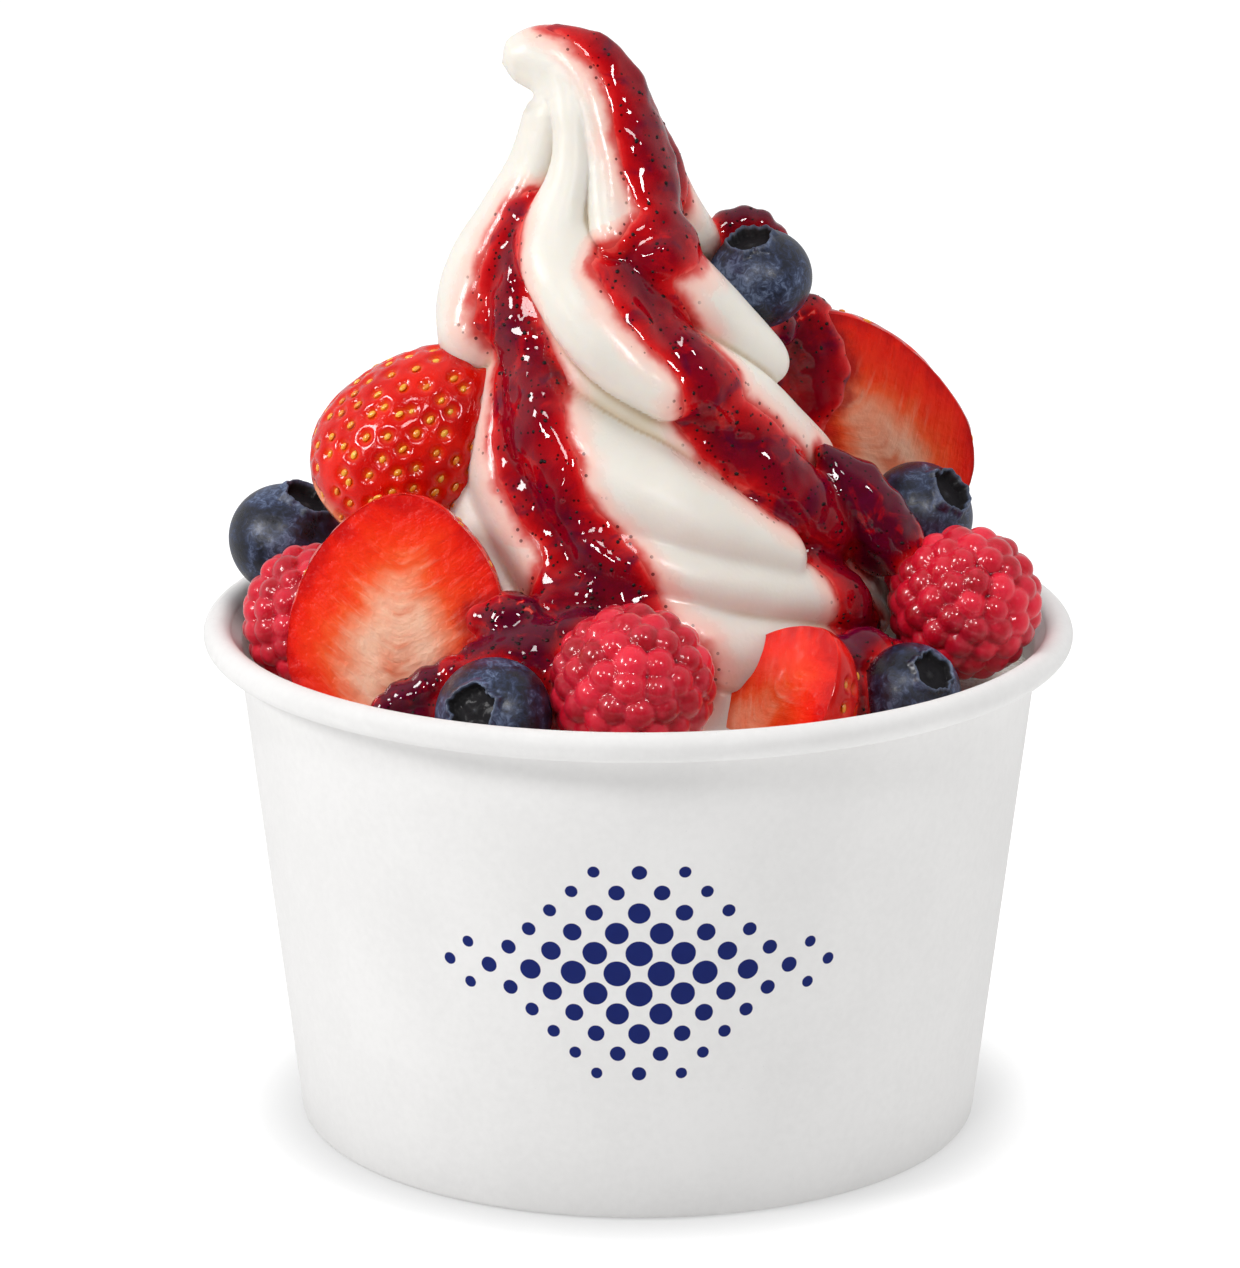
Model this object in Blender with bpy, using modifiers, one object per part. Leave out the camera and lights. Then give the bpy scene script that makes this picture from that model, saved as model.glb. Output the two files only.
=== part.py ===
"""Frozen yogurt cup: a paper cup with a rolled rim, filled with a soft-serve
swirl and ringed with strawberries, raspberries and blueberries.

World frame: metres, +Z up, origin at the centre of the cup's base, the side
that is shown first towards -Y.  All named sizes below are in millimetres.
"""
import math

import bmesh
import bpy
import numpy as np
from mathutils import Matrix, Vector

MM = 0.001

# ---------------------------------------------------------------- sizes (mm)
CUP_HEIGHT = 57.1
RIM_RADIUS = 48.25
RIM_BEAD = 1.57            # radius of the rolled bead
WALL_TOP = 44.43           # outer radius of the wall just under the bead
WALL_FOOT = 38.07          # outer radius of the wall at the foot
PAPER = 0.50
BASE_RECESS = 5.0          # the base disc sits this far above the foot
SKIRT_FOOT = 0.6
GAP = 0.30                 # clearance between neighbouring pieces
REVOLVE_STEPS = 48

FILL_LEVEL = 50.6          # yogurt surface where it meets the wall
SWIRL_FOOT = 51.7
SWIRL_COLUMNS = 42

# Spine of the swirl: (s, x, z, tilt in degrees, outer radius).  s is the
# height for the upright part and the run along the spine in the hooked peak.
SPINE = (
    (50.0, 0.0, 50.0, 0, 30.4),
    (54.0, 0.0, 54.0, 0, 29.4),
    (58.4, 0.3, 58.4, 0, 28.2),
    (64.1, 0.6, 64.1, 0, 26.3),
    (69.9, 0.2, 69.9, 0, 24.6),
    (75.6, -0.8, 75.6, 0, 23.0),
    (81.2, -1.8, 81.2, 0, 21.2),
    (86.8, -2.8, 86.8, 0, 20.0),
    (92.4, -4.2, 92.4, 0, 18.3),
    (98.0, -5.0, 98.0, 0, 15.7),
    (103.6, -5.2, 103.6, 0, 12.0),
    (109.0, -5.0, 109.0, 0, 9.2),
    (112.0, -5.5, 112.0, -2, 7.8),
    (114.6, -6.1, 114.6, -10, 6.8),
    (117.3, -7.3, 117.0, -32, 5.6),
    (119.8, -9.3, 118.6, -60, 4.4),
    (122.0, -11.4, 119.1, -88, 3.6),
    (123.6, -12.9, 119.0, -98, 2.9),
    (124.7, -14.1, 118.8, -102, 1.9),
    (125.3, -14.8, 118.6, -104, 0.0),
)

# How far the creases lie below the outer radius, along s.
CREASE = ((50, 0.0), (54, 1.8), (60, 3.4), (84, 4.4), (96, 4.2), (104, 3.2),
          (112, 2.4), (117, 1.5), (121, 0.3), (126, 0.0))

# Folds of the swirl: name, then (bearing in degrees, s, half width) down the
# middle of the fold from its upper end to its lower end, then its height
# relative to the depth of the creases, then the share of its run over which
# it rises out of the fold above.
FOLDS = (
    ("left_shoulder", ((204, 121, 3.2), (204, 113, 4.2), (196, 107, 5.2), (189, 101, 6.8), (189, 95.5, 7.0), (199, 90.5, 5.2)), 1.0, 0.0),
    ("long_ridge", ((250, 121, 2.4), (253, 113, 2.6), (250, 107, 3.3), (247, 102, 4.8), (259, 97, 5.4), (273, 91.6, 5.8), (288, 86.8, 4.2)), 1.0, 0.0),
    ("shallow_ridge", ((283, 120, 2.8), (282, 110, 3.1), (283, 103, 3.2)), 0.85, 0.0),
    ("right_shoulder", ((330, 119, 4.6), (316, 111, 4.8), (306, 104, 4.4)), 0.95, 0.0),
    ("right_ridge", ((296, 107, 3.2), (308, 102, 4.2), (319, 97.4, 4.8), (331, 92.8, 5.0), (345, 88.0, 4.2)), 1.0, 0.35),
    ("right_fold", ((286, 92, 3.4), (302, 88.6, 4.4), (318, 85, 5.0), (334, 81, 5.0), (351, 76.8, 4.0)), 1.0, 0.4),
    ("great_fold", ((226, 86.4, 4.4), (246, 81.0, 5.7), (264, 77.2, 6.1), (279, 74.8, 5.9), (294, 72.0, 5.1), (312, 68.6, 3.8)), 1.0, 0.3),
    ("middle_fold", ((236, 75.6, 3.0), (254, 72, 3.6), (271, 69.2, 3.9), (287, 67.0, 3.9), (304, 65.2, 3.8), (324, 62.8, 3.4), (346, 58.6, 2.8)), 1.0, 0.4),
    ("lower_fold", ((250, 69, 3.2), (264, 65.6, 4.0), (277, 62.6, 4.4), (291, 60.0, 4.6), (308, 57.8, 4.6), (330, 54.6, 4.0), (350, 51.6, 3.2)), 1.0, 0.4),
    ("right_side_fold", ((308, 79, 3.0), (326, 74.4, 4.6), (344, 69.4, 4.9), (363, 63.6, 4.4), (382, 57.6, 3.6)), 1.0, 0.4),
    ("side_fold_lower", ((330, 66, 3.0), (346, 62.0, 4.2), (362, 57.6, 4.4), (382, 52.0, 3.6)), 0.95, 0.5),
    ("inner_left_fold", ((210, 87, 3.6), (216, 81.4, 4.8), (224, 75.4, 5.0), (236, 69.8, 4.6), (250, 64, 4.0)), 0.85, 0.5),
    ("outer_left_fold", ((176, 88, 3.6), (190, 82, 5.0), (203, 75, 5.4), (217, 67.6, 5.2), (236, 59, 4.4)), 0.95, 0.4),
)
# The fold behind the right shoulder, which the photograph barely shows.
BACK_SHOULDER = ((24, 119.8, 3.0), (24, 112, 4.2), (20, 106, 5.0), (22, 101.5, 5.2), (38, 97, 5.4), (56, 92, 5.2), (80, 87, 4.4))


# -------------------------------------------------------------- scene set-up
for old in list(bpy.data.objects):
    bpy.data.objects.remove(old, do_unlink=True)

cup_set = bpy.data.collections.new("frozen_yogurt_cup")
bpy.context.scene.collection.children.link(cup_set)
cutters = bpy.data.collections.new("cutters")
bpy.context.scene.collection.children.link(cutters)


def material(name, colour, roughness, subsurface=0.0):
    made = bpy.data.materials.new(name)
    made.use_nodes = True
    shader = made.node_tree.nodes["Principled BSDF"]
    shader.inputs["Base Color"].default_value = (*colour, 1.0)
    shader.inputs["Roughness"].default_value = roughness
    shader.inputs["Subsurface Weight"].default_value = subsurface
    return made


WHITE_PAPER = material("white_paper", (0.86, 0.86, 0.85), 0.55)
BASE_PAPER = material("base_paper", (0.80, 0.80, 0.79), 0.6)
YOGURT = material("frozen_yogurt", (0.88, 0.83, 0.74), 0.4, 0.3)
STRAWBERRY = material("strawberry_flesh", (0.72, 0.035, 0.02), 0.3, 0.1)
RASPBERRY = material("raspberry_flesh", (0.50, 0.015, 0.05), 0.3, 0.2)
BLUEBERRY = material("blueberry_skin", (0.030, 0.045, 0.11), 0.5)


def to_object(name, points, faces, look, group, smooth=True):
    mesh = bpy.data.meshes.new(name)
    mesh.from_pydata([tuple(float(c) * MM for c in p) for p in points], [], faces)
    built = bmesh.new()
    built.from_mesh(mesh)
    bmesh.ops.recalc_face_normals(built, faces=built.faces)
    built.to_mesh(mesh)
    built.free()
    mesh.validate()
    mesh.materials.append(look)
    mesh.polygons.foreach_set("use_smooth", [smooth] * len(mesh.polygons))
    made = bpy.data.objects.new(name, mesh)
    group.objects.link(made)
    if group is cutters:
        made.hide_render = True
        made.display_type = "WIRE"
    return made


# -------------------------------------------------------------------- the cup
def revolved(name, profile, look, steps=REVOLVE_STEPS):
    """A closed section in the XZ plane turned round Z."""
    mesh = bpy.data.meshes.new(name)
    count = len(profile)
    mesh.from_pydata([(x * MM, 0.0, z * MM) for x, z in profile], [(i, i + 1) for i in range(count - 1)], [])
    mesh.materials.append(look)
    made = bpy.data.objects.new(name, mesh)
    cup_set.objects.link(made)
    screw = made.modifiers.new("revolve", "SCREW")
    screw.axis = "Z"
    screw.steps = steps
    screw.render_steps = steps
    screw.use_merge_vertices = True
    screw.merge_threshold = 1e-5
    screw.use_smooth_shade = True
    return made


def wall_radius(z):
    """Outer radius of the cone wall at the height z."""
    top = CUP_HEIGHT - 2 * RIM_BEAD
    return WALL_FOOT + (WALL_TOP - WALL_FOOT) * z / top


def wall_section():
    bead_x = RIM_RADIUS - RIM_BEAD
    bead_z = CUP_HEIGHT - RIM_BEAD
    section = []
    # Over the bead from the inner side, outwards and down to the wall.
    inner_z = CUP_HEIGHT - 2 * RIM_BEAD
    inner_top = wall_radius(inner_z) - PAPER
    start, stop, pieces = math.radians(165), math.radians(-120), 9
    for k in range(pieces + 1):
        turn = start + (stop - start) * k / pieces
        section.append((bead_x + RIM_BEAD * math.cos(turn), bead_z + RIM_BEAD * math.sin(turn)))
    section.append((wall_radius(inner_z - 0.5), inner_z - 0.5))
    section.append((wall_radius(0.0), 0.0))
    section.append((wall_radius(0.0) - PAPER, 0.0))
    section.append((inner_top, inner_z))
    section.append(section[0])
    return section


wall = revolved("cup_side_wall", wall_section(), WHITE_PAPER)

base_top = BASE_RECESS + PAPER
skirt_out_top = wall_radius(base_top) - PAPER - GAP
skirt_out_foot = wall_radius(SKIRT_FOOT) - PAPER - GAP
revolved("cup_base", [
    (0.0, base_top), (skirt_out_top, base_top), (skirt_out_foot, SKIRT_FOOT),
    (skirt_out_foot - PAPER, SKIRT_FOOT), (skirt_out_top - PAPER - 0.1, BASE_RECESS), (0.0, BASE_RECESS),
], BASE_PAPER)


# ----------------------------------------------------------------- the swirl
def hermite(xs, ys, at):
    """Smooth interpolation through a table, with bounded slopes."""
    xs, ys, at = np.asarray(xs, float), np.asarray(ys, float), np.asarray(at, float)
    step = np.diff(ys) / np.diff(xs)
    slope = np.concatenate([[step[0]], (step[1:] + step[:-1]) / 2, [step[-1]]])
    k = np.clip(np.searchsorted(xs, at, "right") - 1, 0, len(xs) - 2)
    h = xs[k + 1] - xs[k]
    t = np.clip((at - xs[k]) / h, 0, 1)
    return ((1 + 2 * t) * (1 - t) ** 2 * ys[k] + t * (1 - t) ** 2 * h * slope[k]
            + t * t * (3 - 2 * t) * ys[k + 1] + t * t * (t - 1) * h * slope[k + 1])


TABLE = np.array(SPINE, float)


def spine(s):
    """(x, z, tilt, outer radius) of the swirl at s."""
    x, z, tilt, radius = (hermite(TABLE[:, 0], TABLE[:, k], s) for k in (1, 2, 3, 4))
    return x, z, np.radians(tilt), np.maximum(radius, 0.0)


def all_folds():
    """The folds of the front, and the same folds half a turn on for the back."""
    for name, middle, tall, rise in FOLDS:
        yield np.array(middle, float), tall, rise
        if name == "left_shoulder":
            yield np.array(BACK_SHOULDER, float), tall, rise
            continue
        turn = 208 if name == "outer_left_fold" else 180
        if name not in ("inner_left_fold", "side_fold_lower"):
            yield np.array([(bearing + turn, s - 1.2, half) for bearing, s, half in middle], float), tall, rise


def fold_height(bearing, s, radius):
    """Height of the folds above the creases, 0 to 1, by bearing (degrees) and s."""
    total = np.zeros_like(bearing)
    for middle, tall, rise in all_folds():
        knots = np.arange(len(middle))
        run = np.linspace(0, len(middle) - 1, 5 * (len(middle) - 1) + 1)
        line_b, line_s, half = (hermite(knots, middle[:, k], run) for k in range(3))
        line_r = spine(line_s)[3]
        near = np.full_like(bearing, 9.0)
        along = np.zeros_like(bearing)
        for k in range(len(run) - 1):
            around = np.radians(1.0) * 0.5 * (radius + line_r[k])
            du = ((bearing - line_b[k] + 180) % 360 - 180) * around
            dv = s - line_s[k]
            eu = (line_b[k + 1] - line_b[k]) * around
            ev = line_s[k + 1] - line_s[k]
            share = np.clip((du * eu + dv * ev) / (eu * eu + ev * ev), 0, 1)
            wide = half[k] + (half[k + 1] - half[k]) * share
            far = ((du - share * eu) ** 2 + (dv - share * ev) ** 2) / wide ** 2
            closer = far < near
            near = np.where(closer, far, near)
            along = np.where(closer, (k + share) / (len(run) - 1), along)
        lift = np.sin(0.5 * math.pi * np.clip(along / rise, 0, 1)) if rise else 1.0
        dome = tall * lift * np.clip(1 - near, 0, 1) ** 0.55
        total = (total ** 9 + dome ** 9) ** (1 / 9)
    return total


def swirl_points(bearing, s):
    """Points of the swirl for arrays of bearing (degrees) and s."""
    x, z, tilt, radius = spine(s)
    crease = hermite([c[0] for c in CREASE], [c[1] for c in CREASE], s)
    out = radius - crease * (1 - fold_height(bearing, s, radius))
    turn = np.radians(bearing)
    side = out * np.cos(turn)
    return np.stack([x + side * np.cos(tilt), out * np.sin(turn), z - side * np.sin(tilt)], axis=-1)


def swirl():
    rows = np.concatenate([
        np.linspace(124.6, 112.5, 6), np.linspace(110.0, 53.6, 22), [SWIRL_FOOT]])
    bearing = np.arange(SWIRL_COLUMNS) * 360.0 / SWIRL_COLUMNS
    grid_b, grid_s = np.meshgrid(bearing, rows)
    rings = list(swirl_points(grid_b, grid_s))
    turn = np.radians(bearing)
    shoulder = ((35.5, 51.0), (40.5, 51.0), (wall_radius(FILL_LEVEL) - PAPER - 1.3 * GAP, FILL_LEVEL),
                (wall_radius(base_top + GAP) - PAPER - 1.3 * GAP, base_top + GAP))
    for radius, z in shoulder:
        rings.append(np.stack([radius * np.cos(turn), radius * np.sin(turn), np.full_like(turn, z)], axis=-1))
    points = [p for ring in rings for p in ring]
    faces = []
    n = SWIRL_COLUMNS
    for r in range(len(rings) - 1):
        for c in range(n):
            faces.append((r * n + c, r * n + (c + 1) % n, (r + 1) * n + (c + 1) % n, (r + 1) * n + c))
    x, z, _, _ = spine(np.array([125.3]))
    points.append((x[0], 0.0, z[0]))
    points.append((0.0, 0.0, base_top + GAP))
    last = (len(rings) - 1) * n
    for c in range(n):
        faces.append((len(points) - 2, (c + 1) % n, c))
        faces.append((len(points) - 1, last + c, last + (c + 1) % n))
    return to_object("frozen_yogurt", points, faces, YOGURT, cup_set)


yogurt = swirl()


# ----------------------------------------------------------------- the fruit
def pose(centre, axis, face=None):
    """Matrix that puts local Z on axis and local -Y on face, at centre (mm)."""
    z = Vector(axis).normalized()
    aim = Vector(face) if face is not None else Vector((0.3, -1.0, 0.2))
    y = -(aim - aim.project(z)).normalized()
    x = y.cross(z)
    turned = Matrix((x, y, z)).transposed().to_4x4()
    return Matrix.Translation(Vector(centre)) @ turned


def ring_mesh(rings, bottom, top):
    """Points and faces of rings of equal count closed by two poles."""
    n = len(rings[0])
    points = [p for ring in rings for p in ring]
    faces = [(r * n + c, r * n + (c + 1) % n, (r + 1) * n + (c + 1) % n, (r + 1) * n + c)
             for r in range(len(rings) - 1) for c in range(n)]
    points += [bottom, top]
    last = (len(rings) - 1) * n
    for c in range(n):
        faces.append((len(points) - 2, (c + 1) % n, c))
        faces.append((len(points) - 1, last + c, last + (c + 1) % n))
    return points, faces


def placed(points, where):
    return [tuple(where @ Vector(p)) for p in points]


def strawberry_outline(t):
    """Radius share along the axis, t from the stem end (0) to the tip (1)."""
    widest = 0.34
    if t < widest:
        return math.sqrt(1 - ((widest - t) / (widest + 0.05)) ** 2)
    return (1 - ((t - widest) / (1 - widest)) ** 2) ** 0.6


def strawberry(name, tip, stem, face, radius, cut, grow=0.0, columns=16, rows=8):
    """A strawberry from stem to tip, cut flat where it passes the plane that
    lies cut beyond its axis towards face."""
    tip, stem = Vector(tip), Vector(stem)
    axis = (tip - stem).normalized()
    length = (tip - stem).length + 2 * grow
    where = pose(stem - axis * grow, axis, face)
    rings = []
    for r in range(rows):
        t = 0.02 + 0.95 * (r / (rows - 1)) ** 0.9
        wide = (radius + grow) * strawberry_outline(t)
        rings.append([(wide * math.cos(2 * math.pi * c / columns), wide * math.sin(2 * math.pi * c / columns),
                       t * length) for c in range(columns)])
    points, faces = ring_mesh(rings, (0, 0, 0.0), (0, 0, length))
    group = cutters if grow else cup_set
    made = to_object(name, placed(points, where), faces, STRAWBERRY, group, smooth=False)
    body = bmesh.new()
    body.from_mesh(made.data)
    outward = (where.to_3x3() @ Vector((0, -1, 0))).normalized()
    on_plane = (where.translation + outward * (cut + grow)) * MM
    bmesh.ops.bisect_plane(body, geom=body.verts[:] + body.edges[:] + body.faces[:], dist=1e-7,
                           plane_co=on_plane, plane_no=outward, clear_outer=True)
    rim = [edge for edge in body.edges if edge.is_boundary]
    if rim:
        bmesh.ops.contextual_create(body, geom=rim)
    bmesh.ops.recalc_face_normals(body, faces=body.faces)
    body.to_mesh(made.data)
    body.free()
    return made


def raspberry(name, centre, axis, radius, half_height, grow=0.0):
    """Drupelets in staggered rings on an egg-shaped body."""
    columns, rows, bump = (14, 7, 0.0) if grow else (22, 8, 0.42)
    where = pose(centre, axis)
    swell = 2.0 * grow if grow else 0.0
    rings = []
    for r in range(rows):
        turn = math.pi * (r + 0.7) / (rows + 0.4)
        ring = []
        for c in range(columns):
            lump = bump * (0 if (r + c) % 2 == 0 else -2)
            wide = (radius + lump) * math.sin(turn) * (0.96 + 0.06 * math.cos(turn)) + swell
            ring.append((wide * math.cos(2 * math.pi * c / columns), wide * math.sin(2 * math.pi * c / columns),
                         -(half_height + swell + 0.5 * lump) * math.cos(turn)))
        rings.append(ring)
    ends = half_height + swell
    points, faces = ring_mesh(rings, (0, 0, -ends), (0, 0, ends))
    return to_object(name, placed(points, where), faces, RASPBERRY, cutters if grow else cup_set)


def blueberry(name, centre, crown, radius, grow=0.0):
    """A slightly flat ball with a rimmed dent at its crown."""
    columns = 10
    where = pose(centre, crown)
    flat = 0.92
    if grow:
        wide = radius + 1.6 * grow
        steps = [(wide * math.sin(a), -wide * math.cos(a)) for a in (math.pi * (k + 0.8) / 7.6 for k in range(7))]
        low, high = -wide, wide
    else:
        steps = [(radius * math.sin(a), -flat * radius * math.cos(a)) for a in
                 (math.radians(d) for d in (33, 66, 99, 131))]
        steps += [(0.46 * radius, 0.86 * radius), (0.40 * radius, 0.93 * radius), (0.30 * radius, 0.74 * radius)]
        low, high = -flat * radius, 0.70 * radius
    rings = [[(wide * math.cos(2 * math.pi * c / columns), wide * math.sin(2 * math.pi * c / columns), z)
              for c in range(columns)] for wide, z in steps]
    points, faces = ring_mesh(rings, (0, 0, low), (0, 0, high))
    return to_object(name, placed(points, where), faces, BLUEBERRY, cutters if grow else cup_set)


# name, tip, stem end, way the cut faces, radius, how far the cut lies past the axis
STRAWBERRIES = (
    ("strawberry_left_high", (-16.4, -5.6, 87.2), (-31.0, -4.0, 68.6), (0.50, 0.80, -0.30), 10.2, 2.0),
    ("strawberry_left_front", (-24.8, -20.5, 76.0), (-26.0, -26.3, 50.6), (-0.10, -0.95, 0.25), 12.0, 1.3),
    ("strawberry_right_high", (18.4, 9.5, 88.6), (32.6, 11.0, 65.0), (0.05, -0.98, 0.10), 9.6, 1.0),
    ("strawberry_right_front", (21.2, -29.6, 62.2), (7.2, -28.4, 46.6), (-0.60, -0.55, 0.58), 9.2, 1.0),
    ("strawberry_back_left", (-14.5, 20.5, 80.5), (-21.0, 31.0, 58.5), (0.35, 0.90, 0.40), 10.8, 1.2),
    ("strawberry_back_right", (14.0, 23.0, 74.0), (17.5, 33.5, 51.5), (-0.25, 0.92, 0.30), 10.4, 1.2),
)

# name, centre, axis, radius, half height
RASPBERRIES = (
    ("raspberry_front", (-0.7, -33.6, 58.2), (0.15, -0.55, 0.80), 8.9, 8.9),
    ("raspberry_right", (35.6, -11.0, 61.1), (0.30, -0.55, 0.75), 8.5, 8.6),
    ("raspberry_left", (-35.4, -6.9, 57.7), (-0.30, 0.10, 0.90), 8.1, 8.9),
    ("raspberry_back", (-2.5, 33.6, 58.0), (0.10, 0.60, 0.78), 8.7, 8.9),
    ("raspberry_back_side", (30.6, 19.6, 56.6), (0.50, 0.30, 0.78), 7.3, 7.8),
)

# name, centre, way the crown points, radius
BLUEBERRIES = (
    ("blueberry_left", (-39.2, 8.0, 63.1), (0.42, -0.22, 0.88), 6.8),
    ("blueberry_front_left", (-15.3, -34.6, 55.2), (-0.40, -0.83, 0.40), 6.3),
    ("blueberry_front_right", (29.2, -24.2, 54.9), (0.45, -0.60, 0.66), 5.4),
    ("blueberry_right", (31.3, 1.6, 67.8), (0.62, -0.45, 0.64), 6.0),
    ("blueberry_peak", (13.3, 1.6, 94.5), (-0.22, -0.30, 0.92), 5.8),
    ("blueberry_back_left", (-31.6, 19.0, 57.0), (-0.30, 0.50, 0.80), 6.3),
    ("blueberry_back", (0.6, 26.0, 72.0), (0.10, 0.75, 0.65), 5.8),
    ("blueberry_back_right", (35.2, 6.6, 56.8), (0.50, 0.55, 0.66), 6.0),
)

# How much wider than each fruit the hollow is that the yogurt leaves for it.
HOLLOW = 0.38

hollows = []
for name, tip, stem, face, radius, cut in STRAWBERRIES:
    strawberry(name, tip, stem, face, radius, cut)
    hollows.append(strawberry(name + "_hollow", tip, stem, face, radius, cut, HOLLOW))
for name, centre, axis, radius, half_height in RASPBERRIES:
    raspberry(name, centre, axis, radius, half_height)
    hollows.append(raspberry(name + "_hollow", centre, axis, radius, half_height, HOLLOW))
for name, centre, crown, radius in BLUEBERRIES:
    blueberry(name, centre, crown, radius)
    hollows.append(blueberry(name + "_hollow", centre, crown, radius, HOLLOW))

for hollow in hollows:
    cut = yogurt.modifiers.new(hollow.name, "BOOLEAN")
    cut.operation = "DIFFERENCE"
    cut.solver = "EXACT"
    cut.object = hollow
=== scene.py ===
import math

import bmesh
import bpy
import numpy as np
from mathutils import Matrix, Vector
from mathutils.bvhtree import BVHTree


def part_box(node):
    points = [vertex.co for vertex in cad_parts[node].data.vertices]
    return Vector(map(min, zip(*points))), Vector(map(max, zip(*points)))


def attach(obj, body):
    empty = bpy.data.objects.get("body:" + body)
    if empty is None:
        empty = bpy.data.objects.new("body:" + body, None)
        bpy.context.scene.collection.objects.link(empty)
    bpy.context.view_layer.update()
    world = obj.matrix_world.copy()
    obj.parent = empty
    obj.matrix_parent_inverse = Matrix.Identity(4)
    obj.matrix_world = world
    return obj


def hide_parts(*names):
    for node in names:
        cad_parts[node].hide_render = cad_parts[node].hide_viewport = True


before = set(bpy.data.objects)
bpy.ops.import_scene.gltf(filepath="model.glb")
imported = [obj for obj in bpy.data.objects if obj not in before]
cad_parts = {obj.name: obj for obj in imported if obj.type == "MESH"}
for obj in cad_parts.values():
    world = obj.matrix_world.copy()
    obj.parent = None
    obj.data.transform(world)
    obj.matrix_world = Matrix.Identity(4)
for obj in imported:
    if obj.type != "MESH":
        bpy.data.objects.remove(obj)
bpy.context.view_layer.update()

MM = 0.001
scene = bpy.context.scene
rng = np.random.default_rng(20261)


# ------------------------------------------------------------------ the camera
view = bpy.data.cameras.new("camera")
view.lens, view.sensor_width, view.clip_start = 155.03, 36.0, 0.01
camera = bpy.data.objects.new("camera", view)
camera.location = (-0.00202, -0.58484, 0.21986)
camera.rotation_euler = (math.pi / 2 - 0.275596, 0.0, 0.0)
scene.collection.objects.link(camera)
scene.camera = camera
scene.view_settings.view_transform = "Standard"


# --------------------------------------------------------------- mesh helpers
def add_object(name, points, faces, looks, index=None):
    """A smooth mesh from points in mm and arrays of faces."""
    mesh = bpy.data.meshes.new(name)
    lists = []
    for group in faces:
        if len(group):
            lists += np.asarray(group).tolist()
    mesh.from_pydata((np.asarray(points, float) * MM).tolist(), [], lists)
    mesh.polygons.foreach_set("use_smooth", np.ones(len(mesh.polygons), bool))
    for look in looks:
        mesh.materials.append(look)
    if index is not None:
        mesh.polygons.foreach_set("material_index", np.asarray(index, np.int32))
    made = bpy.data.objects.new(name, mesh)
    scene.collection.objects.link(made)
    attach(made, "root")
    return made


def put(made, **values):
    for name, value in values.items():
        layer = made.data.attributes.new(name, "FLOAT", "POINT")
        layer.data.foreach_set("value", np.asarray(value, np.float32).ravel())


def grid_faces(rows, cols, wrap=True, first=0):
    i = np.arange(rows - 1)[:, None]
    j = np.arange(cols if wrap else cols - 1)[None, :]
    k = (j + 1) % cols
    quads = np.stack([i * cols + j, i * cols + k, (i + 1) * cols + k, (i + 1) * cols + j], -1)
    return quads.reshape(-1, 4) + first


def outward(points, quads):
    """The quads, turned round if their solid comes out inside out."""
    a, b, c, d = (points[quads[:, k]] for k in range(4))
    volume = (np.cross(b - a, c - a) * a).sum() + (np.cross(c - a, d - a) * a).sum()
    return quads[:, ::-1] if volume < 0 else quads


def merged(made, distance=0.004):
    built = bmesh.new()
    built.from_mesh(made.data)
    bmesh.ops.remove_doubles(built, verts=built.verts, dist=distance * MM)
    bmesh.ops.dissolve_degenerate(built, edges=built.edges, dist=distance * MM * 0.2)
    bmesh.ops.recalc_face_normals(built, faces=built.faces)
    built.to_mesh(made.data)
    built.free()
    made.data.update()


def noise(points, size, seed=0):
    """Smooth value noise from -1 to 1 with features about size mm wide."""
    p = np.asarray(points, float) / size + seed * 7.31
    cell = np.floor(p).astype(np.int64)
    f = p - cell
    f = f * f * (3 - 2 * f)
    total = np.zeros(p.shape[:-1])
    for corner in range(8):
        step = np.array([corner & 1, corner >> 1 & 1, corner >> 2 & 1])
        c = cell + step
        h = (c[..., 0] * 73856093) ^ (c[..., 1] * 19349663) ^ (c[..., 2] * 83492791) ^ (seed * 2654435)
        h = ((h ^ (h >> 13)) * 1274126177) & 0xFFFFFFFF
        h = ((h ^ (h >> 15)) & 0xFFFF) / 32767.5 - 1
        weight = np.prod(np.where(step, f, 1 - f), axis=-1)
        total += h * weight
    return total


def rough_noise(points, size, seed=0, steps=3):
    return sum(noise(points, size / 2 ** k, seed + k) / 2 ** k for k in range(steps)) / 1.6


def ease(low, high, value):
    t = np.clip((np.asarray(value, float) - low) / (high - low), 0, 1)
    return t * t * (3 - 2 * t)


def unit(v):
    v = np.asarray(v, float)
    return v / np.maximum(np.linalg.norm(v, axis=-1, keepdims=True), 1e-9)


def icosphere(level):
    built = bmesh.new()
    bmesh.ops.create_icosphere(built, subdivisions=level, radius=1.0)
    points = np.array([v.co for v in built.verts])
    faces = np.array([[v.index for v in f.verts] for f in built.faces])
    built.free()
    return points, faces


def many(base, faces, places, turns, sizes):
    """Copies of a small mesh: places (n,3), turns (n,3,3) with columns as axes, sizes (n,3)."""
    points = (base[None] * sizes[:, None]) @ np.transpose(turns, (0, 2, 1)) + places[:, None]
    count = len(base)
    all_faces = faces[None] + np.arange(len(places))[:, None, None] * count
    return points.reshape(-1, 3), all_faces.reshape(-1, faces.shape[1])


def frames_from(normals, along):
    """Axes whose Z is the normal and whose X follows along as closely as it can."""
    z = unit(normals)
    x = unit(along - (along * z).sum(-1, keepdims=True) * z)
    y = np.cross(z, x)
    return np.stack([x, y, z], -1)


# ----------------------------------------------------------- material helpers
def linear(rgb):
    return tuple((c / 255 / 12.92 if c / 255 <= 0.04045 else ((c / 255 + 0.055) / 1.055) ** 2.4) for c in rgb) + (1.0,)


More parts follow.
